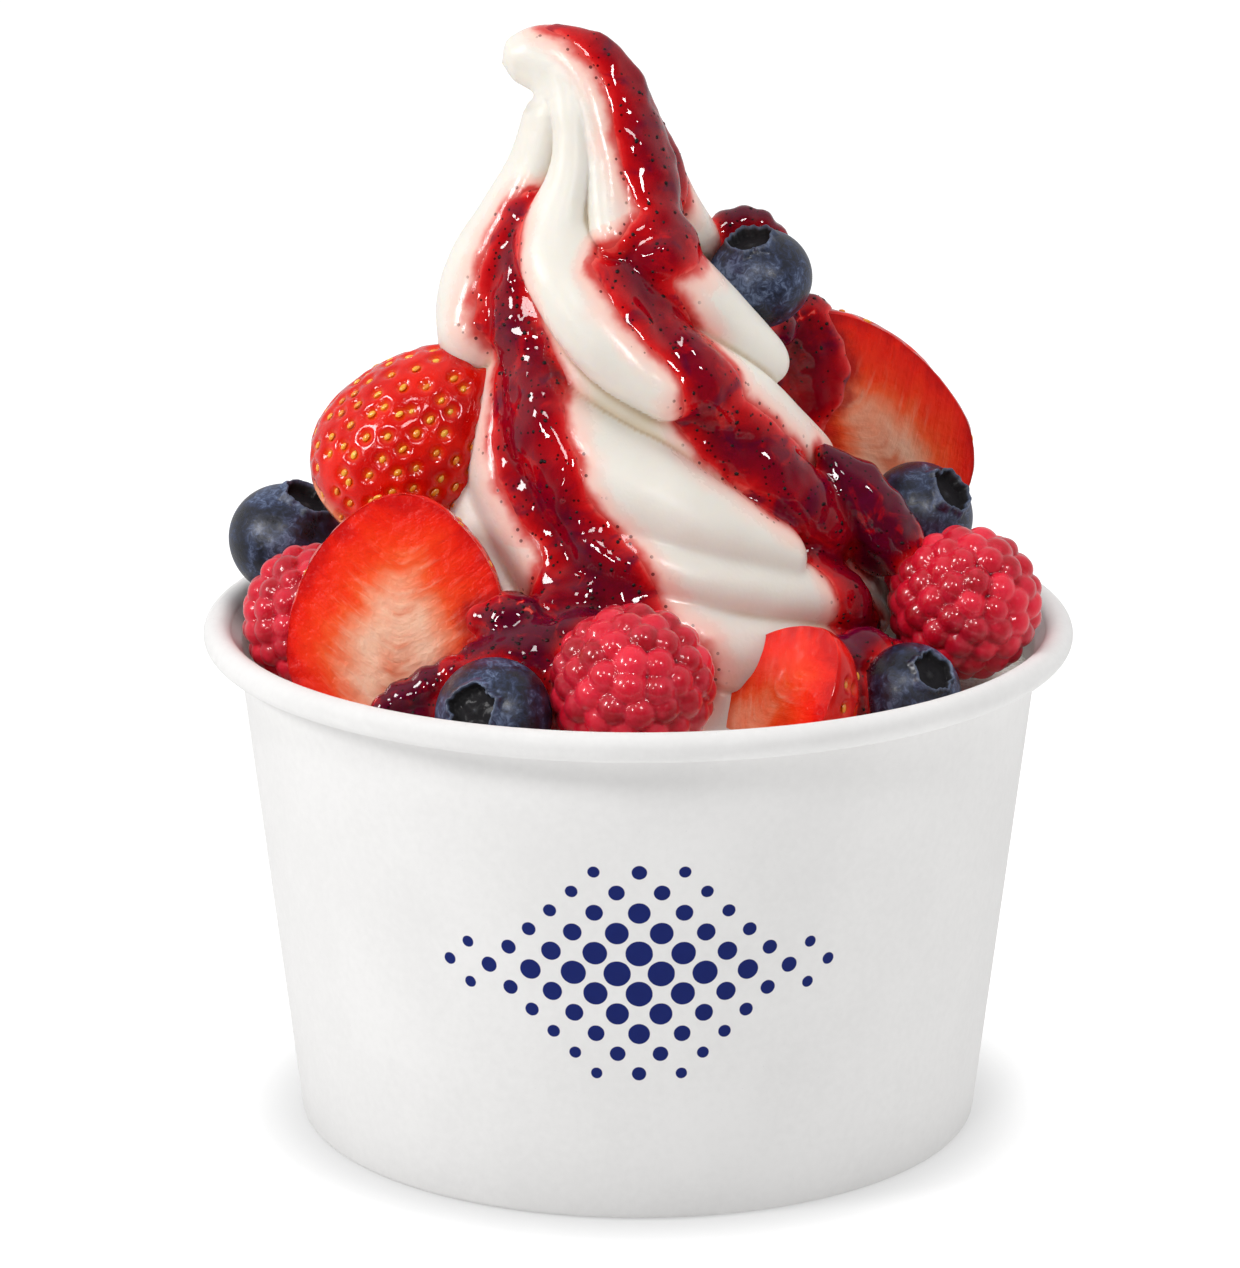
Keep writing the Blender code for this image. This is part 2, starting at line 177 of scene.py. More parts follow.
class Look:
    """A procedural material, with short names for the nodes that it uses."""

    def __init__(self, name, **constants):
        self.material = bpy.data.materials.new(name)
        self.material.use_nodes = True
        self.tree = self.material.node_tree
        self.shader = self.tree.nodes["Principled BSDF"]
        for key, value in constants.items():
            self.shader.inputs[key.replace("_", " ")].default_value = value
        self.place = self.new("ShaderNodeTexCoord").outputs["Object"]

    def new(self, kind, **settings):
        node = self.tree.nodes.new(kind)
        for key, value in settings.items():
            setattr(node, key, value)
        return node

    def feed(self, socket, value):
        if hasattr(value, "is_output") or isinstance(value, bpy.types.NodeSocket):
            self.tree.links.new(value, socket)
        else:
            socket.default_value = value

    def attribute(self, name):
        return self.new("ShaderNodeAttribute", attribute_name=name).outputs["Fac"]

    def math(self, operation, a, b=0.0, c=0.0, clamp=False):
        node = self.new("ShaderNodeMath", operation=operation, use_clamp=clamp)
        for socket, value in zip(node.inputs, (a, b, c)):
            self.feed(socket, value)
        return node.outputs[0]

    def span(self, value, low, high, to_low=0.0, to_high=1.0):
        node = self.new("ShaderNodeMapRange", interpolation_type="SMOOTHSTEP")
        for socket, v in zip(node.inputs, (value, low, high, to_low, to_high)):
            self.feed(socket, v)
        return node.outputs[0]

    def mix(self, share, a, b, kind="MIX"):
        node = self.new("ShaderNodeMix", data_type="RGBA", blend_type=kind)
        self.feed(node.inputs[0], share)
        self.feed(node.inputs[6], linear(a) if isinstance(a, tuple) else a)
        self.feed(node.inputs[7], linear(b) if isinstance(b, tuple) else b)
        return node.outputs[2]

    def noise(self, size, detail=3.0, place=None, rough=0.5, distort=0.0):
        """Noise with features about size mm wide, from 0 to 1."""
        node = self.new("ShaderNodeTexNoise")
        self.feed(node.inputs["Vector"], self.place if place is None else place)
        node.inputs["Scale"].default_value = 1000.0 / size
        node.inputs["Detail"].default_value = detail
        node.inputs["Roughness"].default_value = rough
        node.inputs["Distortion"].default_value = distort
        return node.outputs["Fac"]

    def cells(self, size, feature="F1", place=None, output="Distance"):
        node = self.new("ShaderNodeTexVoronoi", feature=feature)
        self.feed(node.inputs["Vector"], self.place if place is None else place)
        node.inputs["Scale"].default_value = 1000.0 / size
        return node.outputs[output]

    def ramp(self, share, *stops):
        node = self.new("ShaderNodeValToRGB")
        self.feed(node.inputs[0], share)
        held = node.color_ramp.elements
        while len(held) > 1:
            held.remove(held[-1])
        held[0].position, held[0].color = stops[0][0], linear(stops[0][1])
        for position, colour in stops[1:]:
            held.new(position).color = linear(colour)
        return node.outputs[0]

    def vector(self, x=0.0, y=0.0, z=0.0):
        node = self.new("ShaderNodeCombineXYZ")
        for socket, value in zip(node.inputs, (x, y, z)):
            self.feed(socket, value)
        return node.outputs[0]

    def bump(self, *layers):
        """layers of (height from 0 to 1, depth in mm)."""
        normal = None
        for height, depth in layers:
            node = self.new("ShaderNodeBump")
            node.inputs["Strength"].default_value = 1.0
            node.inputs["Distance"].default_value = depth * MM
            self.feed(node.inputs["Height"], height)
            if normal is not None:
                self.feed(node.inputs["Normal"], normal)
            normal = node.outputs[0]
        self.feed(self.shader.inputs["Normal"], normal)
        return normal

    def set(self, **values):
        for key, value in values.items():
            self.feed(self.shader.inputs[key.replace("_", " ")], value)


# ---------------------------------------------------------------- paper looks
def paper_look(name, printed):
    look = Look(name, Roughness=0.6, Specular_IOR_Level=0.22)
    fibre = look.noise(0.9, 4.0)
    cloud = look.noise(14.0, 3.0)
    tone = look.math("MULTIPLY_ADD", cloud, 0.6, look.math("MULTIPLY", fibre, 0.4))
    colour = look.mix(look.span(tone, 0.3, 0.7), (222, 221, 220), (228, 227, 226))
    if printed:
        # Round navy dots on a diagonal lattice inside a lozenge, in mm along the wall.
        along, up = look.attribute("along"), look.attribute("up")
        pitch = 3.3
        a = look.math("DIVIDE", look.math("ADD", along, up), pitch * math.sqrt(2))
        b = look.math("DIVIDE", look.math("SUBTRACT", along, up), pitch * math.sqrt(2))
        ca = look.math("ADD", look.math("FLOOR", a), 0.5)
        cb = look.math("ADD", look.math("FLOOR", b), 0.5)
        middle_x = look.math("MULTIPLY", look.math("ADD", ca, cb), pitch / math.sqrt(2))
        middle_y = look.math("MULTIPLY", look.math("SUBTRACT", ca, cb), pitch / math.sqrt(2))
        dx, dy = look.math("SUBTRACT", along, middle_x), look.math("SUBTRACT", up, middle_y)
        far = look.math("SQRT", look.math("ADD", look.math("MULTIPLY", dx, dx), look.math("MULTIPLY", dy, dy)))
        lozenge = look.math(
            "ADD", look.math("DIVIDE", look.math("ABSOLUTE", middle_x), 24.5),
            look.math("DIVIDE", look.math("ABSOLUTE", middle_y), 15.8),
        )
        size = look.math("MULTIPLY", look.span(lozenge, 1.0, 0.1, 0.62, 1.45), look.math("LESS_THAN", lozenge, 0.96))
        edge = look.math("MULTIPLY", look.math("SUBTRACT", look.noise(0.5, 2.0), 0.5), 0.05)
        inked = look.span(look.math("SUBTRACT", look.math("ADD", far, edge), size), 0.035, -0.035)
        ink = look.mix(look.noise(1.6, 3.0), (1, 22, 98), (2, 28, 108))
        colour = look.mix(inked, colour, ink)
        look.set(Roughness=look.math("MULTIPLY_ADD", inked, -0.05, look.math("MULTIPLY_ADD", fibre, 0.12, 0.56)))
    else:
        look.set(Roughness=look.math("MULTIPLY_ADD", fibre, 0.12, 0.5))
    look.set(Base_Color=colour)
    look.bump((look.noise(0.55, 3.0), 0.012), (look.noise(3.5, 2.0), 0.02))
    return look.material


# -------------------------------------------------------------------- the cup
wall_low, wall_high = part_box("cup_side_wall")
base_low, base_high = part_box("cup_base")
TALL = wall_high.z / MM
RIM = wall_high.x / MM
BEAD, WALL_TOP, WALL_FOOT, PAPER = 1.57, 44.43, 38.07, 0.50
INNER_TOP = TALL - 2 * BEAD
AROUND = 288


def wall_radius(z):
    return WALL_FOOT + (WALL_TOP - WALL_FOOT) * z / INNER_TOP


def revolve(name, profile, look, step_of=None):
    """A closed profile of (radius, z, share of the seam's step) turned round Z."""
    profile = np.array(profile, float)
    turn = np.radians(np.arange(AROUND) * 360 / AROUND - 90)  # 0 faces the front
    step = seam(turn)
    radius = profile[:, 0:1] + profile[:, 2:3] * step[None]
    points = np.stack([radius * np.cos(turn), radius * np.sin(turn), np.repeat(profile[:, 1:2], AROUND, 1)], -1)
    points = points.reshape(-1, 3)
    rows = len(profile)
    quads = grid_faces(rows, AROUND)
    close = np.stack([(rows - 1) * AROUND + np.arange(AROUND), (rows - 1) * AROUND + (np.arange(AROUND) + 1) % AROUND,
                      (np.arange(AROUND) + 1) % AROUND, np.arange(AROUND)], -1)
    quads = outward(points, np.concatenate([quads, close]))
    made = add_object(name, points, [quads], [look])
    away = (np.degrees(turn) + 90 + 180) % 360 - 180
    around = np.repeat((np.radians(away) * 41.6)[None], rows, 0)
    put(made, along=around, up=np.repeat(profile[:, 1:2], AROUND, 1) - 29.0)
    return made


def seam(turn):
    """The lapped joint of the paper at the back: a step 0.3 mm high that dies away over the lap."""
    away = (np.degrees(turn) - 97 + 180) % 360 - 180
    lap = ease(-0.7, 0.0, away) * (1 - ease(6.0, 9.0, away))
    return 0.30 * lap


def ring(cx, cz, radius, start, stop, count, share):
    return [(cx + radius * math.cos(math.radians(a)), cz + radius * math.sin(math.radians(a)), share)
            for a in np.linspace(start, stop, count)]


bead_x, bead_z = RIM - BEAD, TALL - BEAD
profile = ring(bead_x, bead_z, BEAD, 172, -100, 30, 0.0)
profile += [(bead_x - 0.75, bead_z - 1.42, 0.0), (bead_x - 1.35, bead_z - 1.40, 0.2)]
top_of_wall = bead_z - 1.55
profile += [(wall_radius(top_of_wall) + 0.10, top_of_wall, 0.6)]
profile += [(wall_radius(z), z, 1.0) for z in np.linspace(top_of_wall - 0.35, 0.9, 26)]
profile += [(wall_radius(0.5) - 0.005, 0.5, 1.0), (wall_radius(0.22) - 0.03, 0.22, 1.0), (wall_radius(0) - 0.10, 0.06, 0.8),
            (wall_radius(0) - 0.25, 0.0, 0.5), (wall_radius(0) - 0.40, 0.06, 0.0), (wall_radius(0.3) - PAPER, 0.3, 0.0)]
profile += [(wall_radius(z) - PAPER, z, 0.0) for z in np.linspace(1.0, INNER_TOP - 0.4, 22)]
profile += [(wall_radius(INNER_TOP) - PAPER + 0.05, INNER_TOP + 0.1, 0.0), (wall_radius(INNER_TOP) - PAPER + 0.22, INNER_TOP + 0.75, 0.0)]
PAPER_LOOK = paper_look("paper_printed", True)
wall = revolve("paper_side_wall", profile, PAPER_LOOK)
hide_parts("cup_side_wall")

base_top = base_high.z / MM
skirt_foot = base_low.z / MM
inside = wall_radius(base_top) - PAPER - 0.05
foot = wall_radius(skirt_foot) - PAPER - 0.05
under = base_top - PAPER
disc = [(r, base_top, 0) for r in (0.02, 6, 14, 22, 30, inside - 1.2)]
disc += [(inside - 0.5, base_top - 0.03, 0), (inside - 0.12, base_top - 0.2, 0), (inside, base_top - 0.5, 0)]
disc += [(inside + (foot - inside) * k, base_top - 0.5 + (skirt_foot + 0.25 - base_top + 0.5) * k, 0) for k in np.linspace(0.2, 1, 6)]
disc += [(foot - 0.08, skirt_foot + 0.07, 0), (foot - 0.25, skirt_foot, 0), (foot - 0.42, skirt_foot + 0.07, 0), (foot - PAPER, skirt_foot + 0.25, 0)]
disc += [(foot - PAPER - 0.1 * k, skirt_foot + 0.25 + (under - 0.7 - skirt_foot) * k, 0) for k in np.linspace(0.2, 1, 6)]
disc += [(inside - 1.1, under - 0.15, 0), (inside - 1.6, under, 0)] + [(r, under, 0) for r in (30, 22, 14, 6, 0.02)]
base = revolve("paper_base", disc, paper_look("paper_plain", False))
merged(base, 0.05)
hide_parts("cup_base")


# ------------------------------------------------------------------ the swirl
SPINE = (
    (50.0, 0.0, 50.0, 0, 30.4), (54.0, 0.0, 54.0, 0, 29.4), (58.4, 0.3, 58.4, 0, 28.2), (64.1, 0.6, 64.1, 0, 26.3),
    (69.9, 0.2, 69.9, 0, 24.6), (75.6, -0.8, 75.6, 0, 23.0), (81.2, -1.8, 81.2, 0, 21.2), (86.8, -2.8, 86.8, 0, 20.0),
    (92.4, -4.2, 92.4, 0, 18.3), (98.0, -5.0, 98.0, 0, 15.7), (103.6, -5.2, 103.6, 0, 12.0), (109.0, -5.0, 109.0, 0, 9.2),
    (112.0, -5.5, 112.0, -2, 7.8), (114.6, -6.1, 114.6, -10, 6.8), (117.3, -7.3, 117.0, -32, 5.6),
    (119.8, -9.3, 118.6, -60, 4.4), (122.0, -11.4, 119.1, -88, 3.6), (123.6, -12.9, 119.0, -98, 2.9),
    (124.7, -14.1, 118.8, -102, 1.9), (125.3, -14.8, 118.6, -104, 0.0),
)
CREASE = ((50, 0.0), (54, 1.8), (60, 3.4), (84, 4.4), (96, 4.2), (104, 3.2), (112, 2.4), (117, 1.5), (121, 0.3), (126, 0.0))
FOLDS = (
    ("left_shoulder", ((204, 121, 3.2), (204, 113, 4.2), (196, 107, 5.2), (189, 101, 6.8), (189, 95.5, 7.0), (199, 90.5, 5.2)), 1.0, 0.0),
    ("long_ridge", ((250, 121, 2.4), (253, 113, 2.6), (250, 107, 3.3), (247, 102, 4.8), (259, 97, 5.4), (273, 91.6, 5.8), (288, 86.8, 4.2)), 1.0, 0.0),
    ("shallow_ridge", ((283, 120, 2.8), (282, 110, 3.1), (283, 103, 3.2)), 0.85, 0.0),
    ("right_shoulder", ((330, 119, 4.6), (316, 111, 4.8), (306, 104, 4.4)), 0.95, 0.0),
    ("right_ridge", ((296, 107, 3.2), (308, 102, 4.2), (319, 97.4, 4.8), (331, 92.8, 5.0), (345, 88.0, 4.2)), 1.0, 0.35),
    ("right_fold", ((286, 92, 3.4), (302, 88.6, 4.4), (318, 85, 5.0), (334, 81, 5.0), (351, 76.8, 4.0)), 1.0, 0.4),
    ("great_fold", ((226, 86.4, 4.4), (246, 81.0, 5.7), (264, 77.2, 6.1), (279, 74.8, 5.9), (294, 72.0, 5.1), (312, 68.6, 3.8)), 1.0, 0.3),
    ("middle_fold", ((236, 75.6, 3.0), (254, 72, 3.6), (271, 69.2, 3.9), (287, 67.0, 3.9), (304, 65.2, 3.8), (324, 62.8, 3.4), (346, 58.6, 2.8)), 1.0, 0.4),
    ("lower_fold", ((250, 69, 3.2), (264, 65.6, 4.0), (277, 62.6, 4.4), (291, 60.0, 4.6), (308, 57.8, 4.6), (330, 54.6, 4.0), (350, 51.6, 3.2)), 1.0, 0.4),
    ("right_side_fold", ((308, 79, 3.0), (326, 74.4, 4.6), (344, 69.4, 4.9), (363, 63.6, 4.4), (382, 57.6, 3.6)), 1.0, 0.4),
    ("side_fold_lower", ((330, 66, 3.0), (346, 62.0, 4.2), (362, 57.6, 4.4), (382, 52.0, 3.6)), 0.95, 0.5),
    ("inner_left_fold", ((210, 87, 3.6), (216, 81.4, 4.8), (224, 75.4, 5.0), (236, 69.8, 4.6), (250, 64, 4.0)), 0.85, 0.5),
    ("outer_left_fold", ((176, 88, 3.6), (190, 82, 5.0), (203, 75, 5.4), (217, 67.6, 5.2), (236, 59, 4.4)), 0.95, 0.4),
)
BACK_SHOULDER = ((24, 119.8, 3.0), (24, 112, 4.2), (20, 106, 5.0), (22, 101.5, 5.2), (38, 97, 5.4), (56, 92, 5.2), (80, 87, 4.4))
TABLE = np.array(SPINE, float)


def hermite(xs, ys, at):
    xs, ys, at = np.asarray(xs, float), np.asarray(ys, float), np.asarray(at, float)
    step = np.diff(ys) / np.diff(xs)
    slope = np.concatenate([[step[0]], (step[1:] + step[:-1]) / 2, [step[-1]]])
    k = np.clip(np.searchsorted(xs, at, "right") - 1, 0, len(xs) - 2)
    h = xs[k + 1] - xs[k]
    t = np.clip((at - xs[k]) / h, 0, 1)
    return ((1 + 2 * t) * (1 - t) ** 2 * ys[k] + t * (1 - t) ** 2 * h * slope[k]
            + t * t * (3 - 2 * t) * ys[k + 1] + t * t * (t - 1) * h * slope[k + 1])


def spine(s):
    x, z, tilt, radius = (hermite(TABLE[:, 0], TABLE[:, k], s) for k in (1, 2, 3, 4))
    return x, z, np.radians(tilt), np.maximum(radius, 0.0)


def all_folds():
    for name, middle, tall, rise in FOLDS:
        yield np.array(middle, float), tall, rise
        if name == "left_shoulder":
            yield np.array(BACK_SHOULDER, float), tall, rise
            continue
        turn = 208 if name == "outer_left_fold" else 180
        if name not in ("inner_left_fold", "side_fold_lower"):
            yield np.array([(b + turn, s - 1.2, half) for b, s, half in middle], float), tall, rise


def line_distance(bearing, s, radius, middle, steps=5):
    """(distance in mm, half width there, share of the run) to a line of (bearing, s, half width)."""
    knots = np.arange(len(middle))
    run = np.linspace(0, len(middle) - 1, steps * (len(middle) - 1) + 1)
    line_b, line_s, half = (hermite(knots, middle[:, k], run) for k in range(3))
    line_r = spine(line_s)[3]
    best, wide_there, along = np.full(bearing.shape, 9.0), np.ones(bearing.shape), np.zeros(bearing.shape)
    for k in range(len(run) - 1):
        around = np.radians(1.0) * 0.5 * (radius + line_r[k])
        du = ((bearing - line_b[k] + 180) % 360 - 180) * around
        dv = s - line_s[k]
        eu = (line_b[k + 1] - line_b[k]) * around
        ev = line_s[k + 1] - line_s[k]
        share = np.clip((du * eu + dv * ev) / (eu * eu + ev * ev), 0, 1)
        wide = half[k] + (half[k + 1] - half[k]) * share
        far = ((du - share * eu) ** 2 + (dv - share * ev) ** 2) / wide ** 2
        closer = far < best
        best = np.where(closer, far, best)
        wide_there = np.where(closer, wide, wide_there)
        along = np.where(closer, (k + share) / (len(run) - 1), along)
    return best, wide_there, along


def fold_height(bearing, s, radius):
    total = np.zeros(bearing.shape)
    for middle, tall, rise in all_folds():
        near, _, along = line_distance(bearing, s, radius, middle)
        lift = np.sin(0.5 * math.pi * np.clip(along / rise, 0, 1)) if rise else 1.0
        dome = tall * lift * np.clip(1 - near, 0, 1) ** 0.55
        total = (total ** 9 + dome ** 9) ** (1 / 9)
    return total


COLS = 352
s_rows = np.concatenate([[125.292, 125.27, 125.22, 125.14, 125.02, 124.86, 124.66, 124.42], np.arange(124.14, 51.7, -0.31)])
BEARING, S = np.meshgrid(np.arange(COLS) * 360 / COLS, s_rows)
RADIUS = spine(S)[3]
FOLD = fold_height(BEARING, S, RADIUS)
spine_x, spine_z, tilt, _ = spine(S)
crease = hermite([c[0] for c in CREASE], [c[1] for c in CREASE], S)
OUT = RADIUS - crease * (1 - FOLD)


def placed(out):
    turn = np.radians(BEARING)
    side = out * np.cos(turn)
    return np.stack([spine_x + side * np.cos(tilt), out * np.sin(turn), spine_z - side * np.sin(tilt)], -1)


SKIN = placed(OUT)
ROWS = len(s_rows)


def blurred(field, passes=3):
    """The field smoothed over about 2 mm of the swirl."""
    made = field.copy()
    for _ in range(passes):
        up = np.concatenate([made[:1]] * 3 + [made] + [made[-1:]] * 3)
        made = sum(up[k:k + ROWS] for k in range(7)) / 7
        made = sum(np.roll(made, k, 1) for k in range(-3, 4)) / 7
    return made


# ----------------------------------------------------------- the sauce's paths
# (bearing, s, half width) down the middle of each run of sauce over the swirl.
STREAMS = (
    ((222, 105.4, 0.5), (221, 103.2, 1.8), (222, 100.5, 2.9), (223, 97.4, 3.7), (226, 93.4, 4.6), (232, 89, 5.3), (238, 84.4, 5.6),
     (241, 79, 5.4), (245, 75.7, 4.8), (250, 73, 4.2), (254, 70, 4.8), (257, 67, 6.0), (257, 63.5, 7.8), (257, 59, 9.0)),
    ((352, 120.4, 1.0), (345, 118.8, 2.2), (340, 116.8, 3.4), (336, 113.6, 4.8), (333, 109.3, 6.2), (331, 106.2, 6.6),
     (320, 103.2, 4.8), (304, 101.0, 3.6), (293, 98.8, 3.4), (292, 96.2, 3.9), (296, 93.4, 3.9), (300, 90.6, 3.7), (302, 87.4, 3.6),
     (301, 84.4, 3.6), (303, 82, 3.9), (311, 79.4, 4.5), (319, 76.8, 4.7), (326, 73.8, 4.5), (330, 70.6, 4.2), (331, 67.0, 3.9),
     (329, 63.4, 3.4), (330, 59.4, 3.6), (334, 55, 4.8)),
    ((270, 99.4, 0.5), (277, 98.6, 1.6), (287, 97.2, 2.8)),
    ((256, 62, 5.0), (268, 59.6, 4.2), (278, 57, 4.0)),
    # The back, which the photograph doesn't show.
    ((62, 113, 1.0), (68, 107, 2.8), (73, 100, 4.2), (77, 93, 4.8), (80, 86, 5.0), (84, 79, 5.2), (88, 71, 5.6), (91, 64, 6.2), (93, 57, 7.0)),
    ((126, 110, 0.8), (128, 104, 2.6), (132, 98, 4.0), (139, 90, 4.4), (148, 83, 4.8), (154, 76, 5.0), (158, 68, 5.4), (160, 60, 6.2)),
)
# Drops and pools off the swirl: (x, y, z, radius).
BLOBS = (
    (-10.5, -27.0, 59.5, 4.4), (-13.8, -27.4, 58.8, 4.2), (-8.0, -28.2, 57.0, 4.6), (-16.4, -28.0, 58.2, 3.4), (-19.4, -28.8, 57.6, 2.8),
    (-22.2, -29.2, 56.8, 2.5), (-24.6, -29.4, 55.6, 2.3), (-26.6, -29.6, 54.2, 2.0), (-20.6, -29.4, 54.6, 2.7), (-23.4, -30.0, 53.0, 2.5),
    (-17.4, -28.6, 54.4, 3.4), (-12.6, -28.0, 55.0, 4.2), (-9.0, -29.4, 53.4, 4.0), (-13.8, -24.6, 62.6, 3.6), (-16.6, -24.4, 63.0, 2.2),
    (-6.2, -26.4, 61.0, 3.6), (-25.6, -30.2, 51.4, 2.4), (-21.8, -31.0, 51.2, 2.6),
    # Beside the right-hand blueberry, under the lower end of the right stream.
    (24.2, -20.6, 57.6, 3.6), (27.0, -19.4, 56.2, 3.2), (21.6, -22.2, 57.2, 3.4), (24.4, -19.8, 55.6, 3.4), (22.6, -24.4, 54.4, 3.2),
    (27.6, -22.0, 53.6, 3.0), (29.4, -17.6, 55.2, 2.8),
    # The tongue on the right, and the sauce on the upper right strawberry.
    (20.2, -8.0, 77.2, 1.1), (21.0, -8.2, 76.2, 1.7), (21.9, -8.4, 75.2, 2.3), (22.8, -8.5, 74.2, 2.8), (23.8, -8.6, 73.2, 3.3), (24.7, -8.7, 72.1, 3.4),
    (25.6, -8.8, 71.0, 3.4), (26.4, -8.9, 69.9, 3.4), (27.2, -9.0, 68.8, 3.3), (28.0, -9.1, 67.7, 3.1), (28.7, -9.2, 66.6, 2.9), (29.3, -9.4, 65.6, 2.5), (24.4, -6.6, 70.6, 4.0), (26.6, -6.6, 67.0, 4.0), (21.6, -6.4, 73.2, 3.4),
    (15.0, 9.8, 88.2, 2.7), (17.0, 9.8, 88.2, 2.8), (19.1, 10.4, 88.1, 2.8), (14.7, 9.7, 86.4, 2.5), (16.6, 10.2, 86.8, 3.0), (18.0, 9.8, 86.4, 2.6),
    (19.9, 10.3, 86.7, 2.6), (14.9, 10.0, 85.3, 2.7), (16.4, 10.0, 85.1, 2.7), (18.0, 10.3, 85.3, 3.0), (19.2, 9.9, 84.9, 2.7), (20.8, 10.8, 85.1, 2.9),
    (15.3, 10.3, 83.5, 3.0), (16.7, 10.4, 83.6, 3.0), (18.3, 9.9, 83.6, 2.5), (19.7, 9.9, 83.9, 2.5), (21.2, 10.5, 83.4, 2.6), (15.5, 10.4, 82.2, 2.9),
    (17.6, 10.0, 82.3, 2.6), (19.4, 10.0, 82.1, 2.6), (21.5, 11.0, 82.4, 3.0), (16.0, 10.2, 80.8, 2.6), (17.9, 10.1, 80.6, 2.6), (19.4, 10.4, 80.4, 2.9),
    (21.2, 10.6, 80.8, 2.5), (16.4, 10.4, 79.2, 2.7), (18.0, 10.4, 79.0, 2.8), (19.5, 10.6, 79.0, 3.0), (21.0, 11.1, 79.5, 2.9), (16.8, 10.6, 77.5, 2.9),
    (18.7, 10.2, 77.8, 2.5), (20.3, 11.0, 77.6, 2.6), (17.3, 10.4, 76.0, 2.6), (18.6, 10.7, 76.1, 2.8), (19.7, 11.4, 76.1, 3.0), (17.4, 10.6, 74.6, 2.7),
    (19.7, 11.3, 74.9, 2.8), (18.3, 11.1, 73.3, 3.0), (20.0, 11.2, 73.4, 2.6), (19.2, 11.0, 71.8, 2.9), (21.1, 11.4, 72.0, 2.7),
    # Round the blueberry near the peak.
    (9.8, 6.0, 99.4, 2.0), (11.6, 6.6, 99.8, 1.9), (13.4, 7.0, 99.3, 1.8), (15.2, 7.2, 98.0, 1.6), (8.4, 5.4, 97.8, 2.2), (9.4, 6.5, 95.8, 3.0),
    (12.0, 8.0, 94.0, 3.4), (14.0, 7.6, 90.6, 3.0), (13.0, 3.0, 88.6, 2.4), (15.6, 4.6, 88.4, 2.2),
    # Between the pieces of fruit at the sides and the back.
    (-21.0, 15.0, 62.0, 3.8), (-24.0, 12.0, 58.0, 4.0), (-10.0, 29.0, 57.4, 3.8), (-7.0, 31.0, 54.6, 3.4), (6.6, 29.6, 57.6, 4.2), (7.0, 33.0, 54.4, 3.4),
    (-12.0, 26.0, 62.0, 4.0), (3.4, 26.6, 65.0, 3.6), (22.4, 21.4, 61.0, 4.2), (24.6, 22.6, 57.0, 4.0), (24.4, 12.0, 63.0, 3.8), (-27.6, 3.0, 58.0, 3.8),
    (-2.8, 27.8, 68.0, 3.4), (0.6, 25.8, 75.0, 3.2), (-25.0, 26.0, 54.2, 3.2), (22.8, 27.8, 53.8, 3.4), (33.6, 0.4, 57.0, 3.0), (31.4, -1.2, 59.8, 3.0),
)
BLOBS = np.array(BLOBS, float)


def sauce_edge(bearing, s, radius, points):
    """Distance in mm from the sauce's edge over the swirl, negative inside it."""
    total = np.full(bearing.shape, 30.0)
    jitter = rough_noise(points, 6.0, 3) * 0.75 + noise(points, 2.4, 9) * 0.34
    for middle in STREAMS:
        near, wide, _ = line_distance(bearing, s, radius, np.array(middle, float), 4)
        far = np.where(near < 8.9, (np.sqrt(near) - 1) * wide, 30.0)
        total = -np.log(np.exp(-total / 0.8) + np.exp(-far / 0.8)) * 0.8
    return np.clip(total, -8, 30) + jitter


EDGE = sauce_edge(BEARING, S, RADIUS, SKIN)
for x, y, z, r in BLOBS:
    far = np.sqrt((SKIN[..., 0] - x) ** 2 + (SKIN[..., 1] - y) ** 2 + (SKIN[..., 2] - z) ** 2) - r
    EDGE = np.minimum(EDGE, np.maximum(far, -3.0) + 0.25)

# ----------------------------------------------------------------- the yogurt
YOGURT = Look("soft_yogurt", Roughness=0.38, Subsurface_Weight=0.3, Subsurface_Scale=0.0017, Specular_IOR_Level=0.42)
YOGURT.set(Subsurface_Radius=(1.0, 0.72, 0.42))
YOGURT.shader.subsurface_method = "RANDOM_WALK"
edge, depth, wet = YOGURT.attribute("edge"), YOGURT.attribute("crease"), YOGURT.attribute("wet")
grain = YOGURT.noise(0.55, 3.0)
ivory = YOGURT.mix(YOGURT.span(YOGURT.noise(9.0, 3.0), 0.3, 0.7), (224, 219, 210), (230, 226, 217))
# Painted shade: the yogurt's base colour darkens to warm beige in its creases, by the crease depth attribute.
ivory = YOGURT.mix(YOGURT.span(depth, 0.25, 1.0, 0.0, 0.85), ivory, (206, 184, 150))
bleed = YOGURT.math("ADD", edge, YOGURT.math("MULTIPLY", YOGURT.math("SUBTRACT", YOGURT.noise(2.6, 3.0), 0.5), 1.8))
ivory = YOGURT.mix(YOGURT.span(bleed, 4.0, 0.6, 0.0, 0.7), ivory, (250, 190, 176))
ivory = YOGURT.mix(YOGURT.span(bleed, 1.5, -0.1, 0.0, 0.95), ivory, (208, 44, 40))
specks = YOGURT.math("LESS_THAN", YOGURT.cells(1.15), 0.17)
specks = YOGURT.math("MULTIPLY", specks, YOGURT.span(bleed, 2.2, 0.4))
ivory = YOGURT.mix(YOGURT.math("MULTIPLY", specks, 0.8), ivory, (70, 12, 14))
YOGURT.set(Base_Color=ivory, Roughness=YOGURT.math("MULTIPLY_ADD", wet, -0.22, YOGURT.math("MULTIPLY_ADD", grain, 0.14, 0.32)))
YOGURT.bump((grain, 0.030), (YOGURT.noise(2.4, 3.0), 0.05))

